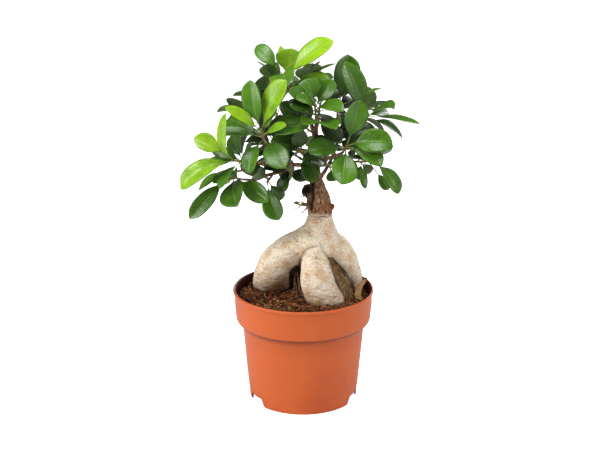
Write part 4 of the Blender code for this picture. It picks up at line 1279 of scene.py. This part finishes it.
# ---- trunk, boughs and small wood -----------------------------------------------------
@dataclass
class Wood:
    """Scion trunk with its sawn stub and knob, the boughs, and dead twigs."""

    voxel: float = 0.5
    bough_voxel: float = 0.42

    def build(self, palette: Palette) -> None:
        """Build all of the wood but the leafy twigs."""
        self.trunk(palette)
        for node in sorted(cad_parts):
            if node.startswith("bough_"):
                self.bough(node, palette)
        make_piece("dead_twigs", self.dead_twigs(), [palette.dry])

    def trunk(self, palette: Palette) -> None:
        """Rough trunk: upright cracks are carved, the knob is reddish, the stub's end is painted dark as a
        shaded hollow, and the left side gets painted shade.

        Args:
            palette: the finishes.
        """
        piece = remeshed("scion_trunk", "trunk", self.voxel, 2)
        points, normals = read_points(piece.data)
        tall = points * np.array([1, 1, 0.3])
        thick = np.clip((205 - points[:, 2]) / 22, 0.12, 1)
        crack = np.abs(layered_noise(tall, 2.6, 51, 3))
        shift = (layered_noise(points, 6.0, 55, 2) * 0.55 + np.clip(crack, 0, 0.45) * 1.7 - 0.5) * thick
        points = points + normals * shift[:, None]
        write_points(piece.data, points)
        front = points[:, 1] < 1
        # The stub's sawn end is painted dark as a shaded hollow.
        stub_end = np.array([3.2, -8.4, 186.4])
        scar = np.exp(-((np.linalg.norm(points - stub_end, axis=1) / 4.6) ** 2))
        split = path_distance(
            points[:, [0, 2]], spline([(8.6, 194), (8.5, 186), (8.2, 180), (7.4, 174), (6.6, 169)], 50)
        )
        split = np.exp(-((split / 1.1) ** 2)) * front
        # Painted shade down the trunk's left side.
        shade = np.clip((8.5 - points[:, 0]) / 3.0, 0, 0.4) * front * np.clip((points[:, 2] - 166) / 6, 0, 1)
        # Darker towards the top.
        high = np.clip((points[:, 2] - 198) / 12, 0, 0.35)
        add_value(piece.data, "scar", np.clip(scar * 0.9 + split * 0.9 + shade + high, 0, 1))
        add_value(piece.data, "fringe", np.clip((168.5 - points[:, 2]) / 6.0, -0.5, 0.8))
        red = np.exp(-(((points[:, 0] - 15) / 4.5) ** 2 + ((points[:, 2] - 171) / 3.5) ** 2)) * front * 0.75
        add_value(
            piece.data,
            "knob",
            np.clip(np.clip((points[:, 0] - 21.0) / 2.5, 0, 1) * (points[:, 2] < 176) + red, 0, 1),
        )
        piece.data.materials.clear()
        piece.data.materials.append(palette.bark)
        piece.data.shade_smooth()
        settle(piece, ("scion_trunk",))

    def bough(self, node: str, palette: Palette) -> None:
        """One bough with slightly knotty bark."""
        piece = remeshed(node, node.replace("bough", "branch"), self.bough_voxel, 1)
        points, normals = read_points(piece.data)
        knots = layered_noise(points, 4.0, 58, 2) * 0.16
        write_points(piece.data, points + normals * knots[:, None])
        piece.data.materials.clear()
        piece.data.materials.append(palette.bough)
        piece.data.shade_smooth()
        settle(piece, (node,))

    @staticmethod
    def dead_twigs() -> Surface:
        """Thin dry twigs by the stub."""
        rows = (
            (((7, -6, 172), (1, -9, 173), (-5, -10, 174.5), (-9.5, -9, 175.5)), 1.0, 0.2),
            (((-2, -9.6, 173.8), (-5, -12, 171.5), (-9, -13, 171.5)), 0.6, 0.5),
            (((3, -9, 173.4), (0, -12, 176.5), (-3, -13, 178)), 0.7, 0.15),
            (((6, -5, 180), (-1, -10, 181), (-4, -12, 180)), 0.7, 0.2),
            (((4, -8, 172.6), (1, -11, 169), (-3, -12, 167)), 0.8, 0.3),
        )
        parts = []
        for number, (path, radius, tint) in enumerate(rows):
            line = spline(path, 14)
            one = tube(line, radius * np.linspace(1.0, 0.35, 14), 8, 70 + number, 0.35)
            one.values["tint"] = np.full(len(one.points), tint)
            parts.append(one)
        return Surface.joined(parts)


# ---- leafy shoots ---------------------------------------------------------------------
@dataclass
class Blade:
    """One leaf read back from a CAD shoot: its midrib curve, facing, width and fold."""

    curve: np.ndarray
    side: np.ndarray
    half: float
    lift: float
    tip: np.ndarray
    used: set


@dataclass(frozen=True)
class Tint:
    """Colour of one leaf: tone from mature 0 to young 1, which for unlisted leaves also carries painted shade
    by depth, and how yellow its edge is.
    """

    tip: tuple
    tone: float
    rim: float = 0.0


TINTS = (
    Tint((24, -10, 310), 0.86), Tint((-9, 2, 302), 0.74), Tint((-19, 10, 303), 1.0),
    Tint((-38, 0, 304.5), 0.42),
    Tint((-11.5, -32, 278), 0.52, 0.5), Tint((21.5, -16, 279.5), 0.7), Tint((-13, -54, 287), 0.74, 0.3),
    Tint((-41.5, -43, 285), 0.44),
    Tint((-61, -52, 265), 0.78), Tint((-20, -51, 264), 0.72, 0.7), Tint((-13, -62, 253), 0.75),
    Tint((4.5, -56, 251), 0.24),
    Tint((-61, -15, 248), 0.3), Tint((-67, -50, 243.5), 0.36), Tint((-14, -66, 220), 0.28),
    Tint((-87, -35, 237), 0.82, 0.4),
    Tint((-60, -45, 262), 0.8), Tint((-98.5, -40, 196), 0.74), Tint((-41, -60, 234), 0.55),
    Tint((-74, -13, 208), 0.34),
    Tint((-91, -50, 174), 0.22), Tint((2, -27, 283), 0.42), Tint((-12, -46, 276), 0.36),
    Tint((23.5, -26, 282), 0.42), Tint((31, -52, 262), 0.44, 0.3), Tint((36, 3, 297), 0.32),
    Tint((64, 6, 268.5), 0.62), Tint((-43, -48, 211.5), 0.36), Tint((-65.5, -52, 199.5), 0.4),
    Tint((32.5, -17, 294.5), 0.38),
    Tint((44, -47, 270), 0.36), Tint((70, -52, 237), 0.32, 0.15), Tint((61, -63, 221), 0.32),
    Tint((77, -36, 191), 0.3),
    Tint((74, -16, 258), 0.4, 0.6), Tint((95.5, -5, 241), 0.4, 0.1), Tint((-8, -8, 175), 0.8),
    Tint((-52, -56, 186), 0.22),
)
YOUNG_SHOOTS = ("shoot_crown", "shoot_left_front", "shoot_left", "shoot_trunk_bud")


class LeafyShoot:
    """A shoot rebuilt from its CAD node: smooth waxy leaves on the node's own twig and stalks."""

    shares = (1.0, 0.87, 0.60, 0.27, 0.0)
    outline_t = (0.0, 0.04, 0.09, 0.16, 0.25, 0.36, 0.48, 0.60, 0.71, 0.80, 0.87, 0.925, 0.962, 0.985, 1.0)
    outline_w = (0.06, 0.10, 0.20, 0.40, 0.65, 0.86, 0.97, 1.0, 0.96, 0.85, 0.70, 0.50, 0.31, 0.15, 0.02)
    thick = 0.3
    rows = 21
    columns = 9

    def __init__(self, node: str) -> None:
        """Args: node: name of the CAD shoot."""
        self.node = node
        self.points, self.triangles = welded(node)
        self.pick = np.random.default_rng(sum(map(ord, node)))
        self.links = [set() for _ in self.points]
        for a, b, c in self.triangles.tolist():
            self.links[a].update((b, c))
            self.links[b].update((a, c))
            self.links[c].update((a, b))
        self.blades = [blade for blade in map(self.read_blade, range(len(self.points))) if blade]

    def read_blade(self, start: int) -> Blade | None:
        """The blade that ends at a vertex, if that vertex is a leaf tip: rings of four lie behind it.

        Args:
            start: number of the vertex.

        Returns:
            The blade, or None when no leaf ends there.
        """
        if len(self.links[start]) != 4:
            return None
        levels = [{start}]
        seen = {start}
        for _ in range(4):
            ring = set().union(*(self.links[i] for i in levels[-1])) - seen
            levels.append(ring)
            seen |= ring
        if [len(ring) for ring in levels[1:4]] != [4, 4, 4]:
            return None
        if len(levels[4]) != 4:
            levels[4] = set()
        middles, sides, lifts, halves = [], [], [], []
        for ring in levels[1:]:
            if not ring:
                continue
            corners = self.points[sorted(ring)]
            gaps = np.linalg.norm(corners[:, None] - corners[None], axis=-1)
            left, right = np.unravel_index(gaps.argmax(), gaps.shape)
            others = [k for k in range(4) if k not in (left, right)]
            middles.append(corners[others].mean(0))
            sides.append(unit(corners[right] - corners[left]))
            lifts.append((corners[left] + corners[right]) / 2 - middles[-1])
            halves.append(gaps.max() / 2)
        if halves[0] > halves[1] * 0.9 or halves[1] < 0.8:
            return None
        tip = self.points[start]
        shares = np.array(self.shares[: len(middles) + 1])
        basis = np.stack([np.ones_like(shares), shares, shares**2], 1)
        curve = np.linalg.lstsq(basis, np.vstack([tip, *middles]), rcond=None)[0]
        slope = curve[1] + curve[2]
        side = sides[1]
        upper = lifts[1]
        if np.dot(np.cross(side, slope), upper) < 0:
            side = -side
        return Blade(curve, side, halves[1], float(np.linalg.norm(upper)), tip, set().union(*levels[:4]))

    def tint(self, blade: Blade) -> Tint:
        """The listed tint of a leaf, or one by its place: painted shade, darker the deeper it hangs in the
        crown.
        """
        near = min(TINTS, key=lambda one: float(np.linalg.norm(np.array(one.tip) - blade.tip)))
        if np.linalg.norm(np.array(near.tip) - blade.tip) < 7:
            return near
        # Painted shade: unlisted leaves are darker the deeper they hang in the crown.
        depth = np.linalg.norm((blade.tip - np.array([6, 6, 236])) / np.array([88, 68, 70]))
        return Tint(
            tuple(blade.tip), float(np.clip(0.02 + 0.24 * depth**2 + 0.12 * self.pick.random(), 0.03, 0.5))
        )

    def leaf(self, blade: Blade) -> Surface:
        """A smooth closed leaf on a blade's midrib.

        Formula: each cross-section lies at midrib + side * half width * v + normal * fold(v), with
        fold(v) = lift * (1.25 * |v| - 0.3 * v * v), so each half of the blade is a little convex.

        Args:
            blade: what was read from the CAD.

        Returns:
            The leaf with its own u and v, underside mask, tone, rim, and deep, its painted shade inside the
            crown.
        """
        t = np.linspace(0, 1, self.rows)
        t = t + 0.08 * np.sin(2 * math.pi * t) / (2 * math.pi) * -1
        t[0] = -0.02
        powers = np.stack([np.ones_like(t), t, t**2], 1)
        middle = powers @ blade.curve
        slope = unit(blade.curve[1] + 2 * t[:, None] * blade.curve[2])
        normal = unit(np.cross(blade.side, slope))
        side = unit(np.cross(slope, normal))
        length = np.linalg.norm(blade.tip - middle[0])
        twist = np.radians(self.pick.uniform(-9, 9)) * (t - 0.4)
        side, normal = (
            side * np.cos(twist)[:, None] + normal * np.sin(twist)[:, None],
            normal * np.cos(twist)[:, None] - side * np.sin(twist)[:, None],
        )
        wide = blade.half * np.interp(t, self.outline_t, self.outline_w)
        v = np.sin(np.linspace(-math.pi / 2, math.pi / 2, self.columns))
        v = 0.35 * v + 0.65 * np.linspace(-1, 1, self.columns)
        fold = (1.25 * np.abs(v) - 0.3 * v**2)[None] * (blade.lift * wide / blade.half)[:, None]
        phase = self.pick.uniform(0, 6.28, 2)
        ripple = 0.022 * length * min(1.0, blade.half / 8)
        wave = np.sin(
            t[:, None] * 9.0 + np.where(v > 0, phase[0], phase[1])[None]
        ) * np.abs(v)[None] ** 2 * np.sin(math.pi * np.clip(t, 0, 1))[:, None]
        fold = fold + ripple * 0.5 * wave
        sag = 0.03 * length * np.clip(t - 0.75, 0, 1) ** 2 * 8
        fold = fold - (sag * (1 - t))[:, None]
        spread = side[:, None] * (wide[:, None] * v[None])[..., None]
        sheet = middle[:, None] + spread + normal[:, None] * fold[..., None]
        skin = self.thick / 2 * np.sqrt(np.clip(1 - v**2, 0, 1))[None] * np.clip(wide / 2.5, 0.15, 1)[:, None]
        upper = sheet + normal[:, None] * skin[..., None]
        lower = (sheet - normal[:, None] * skin[..., None])[:, -2:0:-1]
        points = np.concatenate([upper, lower], 1)
        u = np.repeat(np.clip(t, 0, 1)[:, None], points.shape[1], axis=1)
        across = np.broadcast_to(np.concatenate([v, v[-2:0:-1]])[None] * 0.5 + 0.5, u.shape)
        under = np.broadcast_to(
            np.concatenate([np.zeros(self.columns), np.ones(self.columns - 2)])[None], u.shape
        )
        tint = self.tint(blade)
        # Painted shade: the nearer the crown's middle, the darker the leaf, less so for young leaves.
        reach = np.linalg.norm((points - np.array([4, 4, 232])) / np.array([88, 66, 74]), axis=-1)
        deep = np.clip(1.75 - 1.75 * reach, 0, 0.94) * (1 - 0.75 * tint.tone)
        return Surface(
            points.reshape(-1, 3),
            [face[::-1] for face in ring_faces(len(t), points.shape[1])],
            {
                "blade_u": u.ravel(),
                "blade_v": across.ravel(),
                "under": under.ravel(),
                "tone": np.full(u.size, tint.tone),
                "rim": np.full(u.size, tint.rim),
                "deep": deep.ravel(),
            },
        )

    def wood(self) -> Surface:
        """The twig and stalks: the CAD shoot without its blades, capped, remeshed and smoothed."""
        used = set().union(*(blade.used for blade in self.blades)) if self.blades else set()
        keep = [face for face in self.triangles.tolist() if not used.intersection(face)]
        shape = evenly(self.points, keep, "wood", 0.36, 2)
        points, normals = read_points(shape.data)
        faces = [tuple(polygon.vertices) for polygon in shape.data.polygons]
        mesh = shape.data
        bpy.data.objects.remove(shape)
        bpy.data.meshes.remove(mesh)
        bases = np.array([blade.curve[0] for blade in self.blades]) if self.blades else np.zeros((0, 3))
        away = path_distance(points, bases) if len(bases) else np.full(len(points), 99.0)
        points = points + normals * (layered_noise(points, 2.5, 91, 2) * 0.1)[:, None]
        return Surface(points, faces, {"stalk": np.clip(1.15 - away / 6.0, 0, 1)}, np.zeros(len(faces), int))

    def build(self, palette: Palette) -> bpy.types.Object:
        """Join leaves and wood into one piece."""
        young = self.node in YOUNG_SHOOTS
        several = [self.wood()]
        for blade in self.blades:
            leaf = self.leaf(blade)
            leaf.parts = np.ones(len(leaf.faces), int)
            several.append(leaf)
        LOG.info("%s: %d leaves", self.node, len(self.blades))
        wood = palette.young_twig if young else palette.twig
        return make_piece(
            self.node.replace("shoot", "leaves"), Surface.joined(several), [wood, palette.leaf],
            (self.node,),
        )


# ---- rootlets, moss fibres and flake ----------------------------------------------------
@dataclass
class RootDressing:
    """Fine rootlets by the front root, mossy fibres in the recess and a papery flake."""

    hairs: int = 380

    def build(self, palette: Palette) -> None:
        """Build the three small pieces."""
        make_piece("rootlets", self.rootlets(), [palette.dry])
        make_piece("moss_fibres", self.moss(), [palette.dry])
        make_piece("root_flake", self.flake(), [palette.dry])

    @staticmethod
    def hair(line: list, thick: float, pick: np.random.Generator, tint: float, moss: float = 0.0) -> Surface:
        """One thin tapering strand through a few points, with its tint and moss values."""
        path = spline(line, 12)
        one = tube(
            path, thick * np.linspace(1.0, 0.4, 12) * (1 + 0.2 * pick.standard_normal(12)).clip(0.6, 1.5), 5
        )
        one.values["tint"] = np.full(len(one.points), tint)
        one.values["moss"] = np.full(len(one.points), moss)
        return one

    def rootlets(self) -> Surface:
        """Pale rootlets that hang in the dark gap left of the front root."""
        pick = np.random.default_rng(3)
        parts = []
        for _ in range(6):
            x = pick.uniform(-7.5, -3.0)
            top = pick.uniform(100, 116)
            heights = np.linspace(top, 90, 5)
            sway = np.cumsum(pick.normal(0, 1.0, 5))
            depth = -3.0 + np.cumsum(pick.normal(0, 0.7, 5)) - (top - heights) * 0.22
            line = [(x + a, b, c) for a, b, c in zip(sway, depth, heights)]
            parts.append(self.hair(line, pick.uniform(0.1, 0.2), pick, pick.uniform(0.5, 1.0)))
        return Surface.joined(parts)

    def moss(self) -> Surface:
        """Greenish and tan hairs that fill the recess between the front and right roots."""
        pick = np.random.default_rng(4)
        shape = RootBody()
        parts = []
        for _ in range(self.hairs):
            z = pick.uniform(91, 131)
            left, right = np.interp(
                z, shape.heights, shape.front_edge
            ), np.interp(z, shape.heights, shape.right_edge)
            x = pick.uniform(left + 0.8, right - 0.4)
            near = -9.0 - 6.0 * np.clip(
                (right - x) / max(right - left, 1), 0, 1
            ) - np.clip((110 - z) * 0.12, 0, 3)
            start = np.array([x, near + pick.normal(0, 0.8), z])
            drop = pick.uniform(2, 7)
            drift = pick.normal(0, 1.6, 2)
            line = [
                start,
                start + (drift[0] * 0.5, -0.9, -drop * 0.5),
                start + (drift[0], -0.4 + drift[1] * 0.3, -drop),
            ]
            parts.append(
                self.hair(
                    line, pick.uniform(0.09, 0.24), pick, pick.uniform(0.1, 1.0),
                    pick.choice([0.0, 0.0, 0.3, 0.8]),
                )
            )
        return Surface.joined(parts)

    @staticmethod
    def flake() -> Surface:
        """Papery brown flake that curls off the right root, with a frayed dark tip."""
        s = np.linspace(0, 1, 24)
        line = spline(
            [
                (53.6, -9.5, 110.0), (50.6, -10.4, 106.6), (47.4, -11.2, 102.5), (46.4, -12, 96.0),
                (47.2, -12.6, 90.5),
            ],
            24,
        )
        wide = np.interp(s, (0, 0.12, 0.35, 0.7, 1.0), (0.4, 1.6, 2.4, 2.8, 3.2))
        ring = []
        for a in np.linspace(0, 2 * math.pi, 12, endpoint=False):
            bow = -0.9 * np.cos(a * 1.0) ** 2
            ring.append(
                line + np.stack(
                    [wide * np.cos(a), 0.35 * np.sin(a) + bow + 0 * s, 0.3 * np.sin(a) + 0 * s], 1
                )
            )
        points = np.stack(ring, 1).reshape(-1, 3)
        points = points + (layered_noise(points, 3.0, 17, 2) * 0.6)[:, None] * np.array([1, 0.5, 0.3])
        tint = 0.55 + 0.35 * layered_noise(
            points * np.array([1, 1, 0.4]), 2.4, 19, 2
        ) - 0.6 * np.clip((points[:, 2] - 106) / 4, 0, 1)
        return Surface(points, ring_faces(24, 12), {"tint": np.clip(tint, 0, 1)})


# ---- studio -----------------------------------------------------------------------------
@dataclass
class Studio:
    """Pale floor, soft lights and the camera."""

    distance: float = 1028.17
    height: float = 476.65
    focal: float = 1281.75
    pitch: float = 0.3048
    yaw: float = -0.0027

    def build(self) -> None:
        """Build floor, world, lights and camera."""
        mesh = bpy.data.meshes.new("floor")
        mesh.from_pydata(
            [(-6, -6, -0.0004), (6, -6, -0.0004), (6, 6, -0.0004), (-6, 6, -0.0004)], [], [(0, 1, 2, 3)]
        )
        floor = bpy.data.objects.new("floor", mesh)
        bpy.context.scene.collection.objects.link(floor)
        stuff = bpy.data.materials.new("floor")
        stuff.use_nodes = True
        shader = stuff.node_tree.nodes["Principled BSDF"]
        shader.inputs["Base Color"].default_value = (0.8, 0.8, 0.8, 1)
        shader.inputs["Roughness"].default_value = 0.9
        shader.inputs["Emission Color"].default_value = (1, 1, 1, 1)
        wire = Wiring(stuff.node_tree)
        seen = wire.node("ShaderNodeLightPath").outputs["Is Camera Ray"]
        wire.feed(shader.inputs["Emission Strength"], wire.math("MULTIPLY", seen, 0.9))
        mesh.materials.append(stuff)
        world = bpy.data.worlds.new("studio")
        world.use_nodes = True
        sky = world.node_tree.nodes["Background"]
        sky.inputs[0].default_value = (1, 1, 1, 1)
        wire = Wiring(world.node_tree)
        seen = wire.node("ShaderNodeLightPath").outputs["Is Camera Ray"]
        wire.feed(sky.inputs[1], wire.math("ADD", wire.math("MULTIPLY", seen, 0.83), 0.17))
        bpy.context.scene.world = world
        self.lamp("key", (-0.95, -0.7, 0.85), 0.6, 12.5)
        self.lamp("side", (-1.1, -0.3, 0.2), 0.4, 4.2)
        self.lamp("fill", (1.05, -0.45, 0.45), 0.5, 5.5)
        self.lamp("top", (0.1, -0.2, 1.2), 0.6, 9.0)
        self.lamp("back", (0.5, 1.1, 0.5), 0.6, 6.0)
        self.camera()
        bpy.context.scene.view_settings.view_transform = "Standard"
        bpy.context.scene.view_settings.look = "None"

    @staticmethod
    def lamp(name: str, place: tuple, size: float, power: float) -> None:
        """Soft square lamp that faces the middle of the object."""
        data = bpy.data.lights.new(name, "AREA")
        data.size = size
        data.energy = power
        lamp = bpy.data.objects.new(name, data)
        lamp.location = place
        lamp.rotation_euler = (Vector((0, 0, 0.17)) - Vector(place)).to_track_quat("-Z", "Y").to_euler()
        bpy.context.scene.collection.objects.link(lamp)

    def camera(self) -> None:
        """Camera looking slightly down from the front."""
        ahead = Vector(
            (
                math.sin(self.yaw) * math.cos(self.pitch),
                math.cos(self.yaw) * math.cos(self.pitch),
                -math.sin(self.pitch),
            )
        )
        right = Vector((math.cos(self.yaw), -math.sin(self.yaw), 0))
        above = right.cross(ahead)
        data = bpy.data.cameras.new("camera")
        data.sensor_width = 36
        data.lens = self.focal / 600 * 36
        data.clip_start = 0.01
        camera = bpy.data.objects.new("camera", data)
        spot = Vector((0, -self.distance, self.height)) * MM
        rows = [(right[k], above[k], -ahead[k], spot[k]) for k in range(3)]
        camera.matrix_world = Matrix(rows + [(0, 0, 0, 1)])
        bpy.context.scene.collection.objects.link(camera)
        bpy.context.scene.camera = camera


def main() -> None:
    """Build everything."""
    logging.basicConfig(level=logging.INFO, format="%(name)s %(message)s")
    palette = Palette()
    Pot().build(palette)
    Soil().build(palette)
    RootBody().build(palette)
    Wood().build(palette)
    RootDressing().build(palette)
    for node in sorted(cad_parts):
        if node.startswith("shoot_"):
            LeafyShoot(node).build(palette)
    Studio().build()


if __name__ == "__main__":
    main()
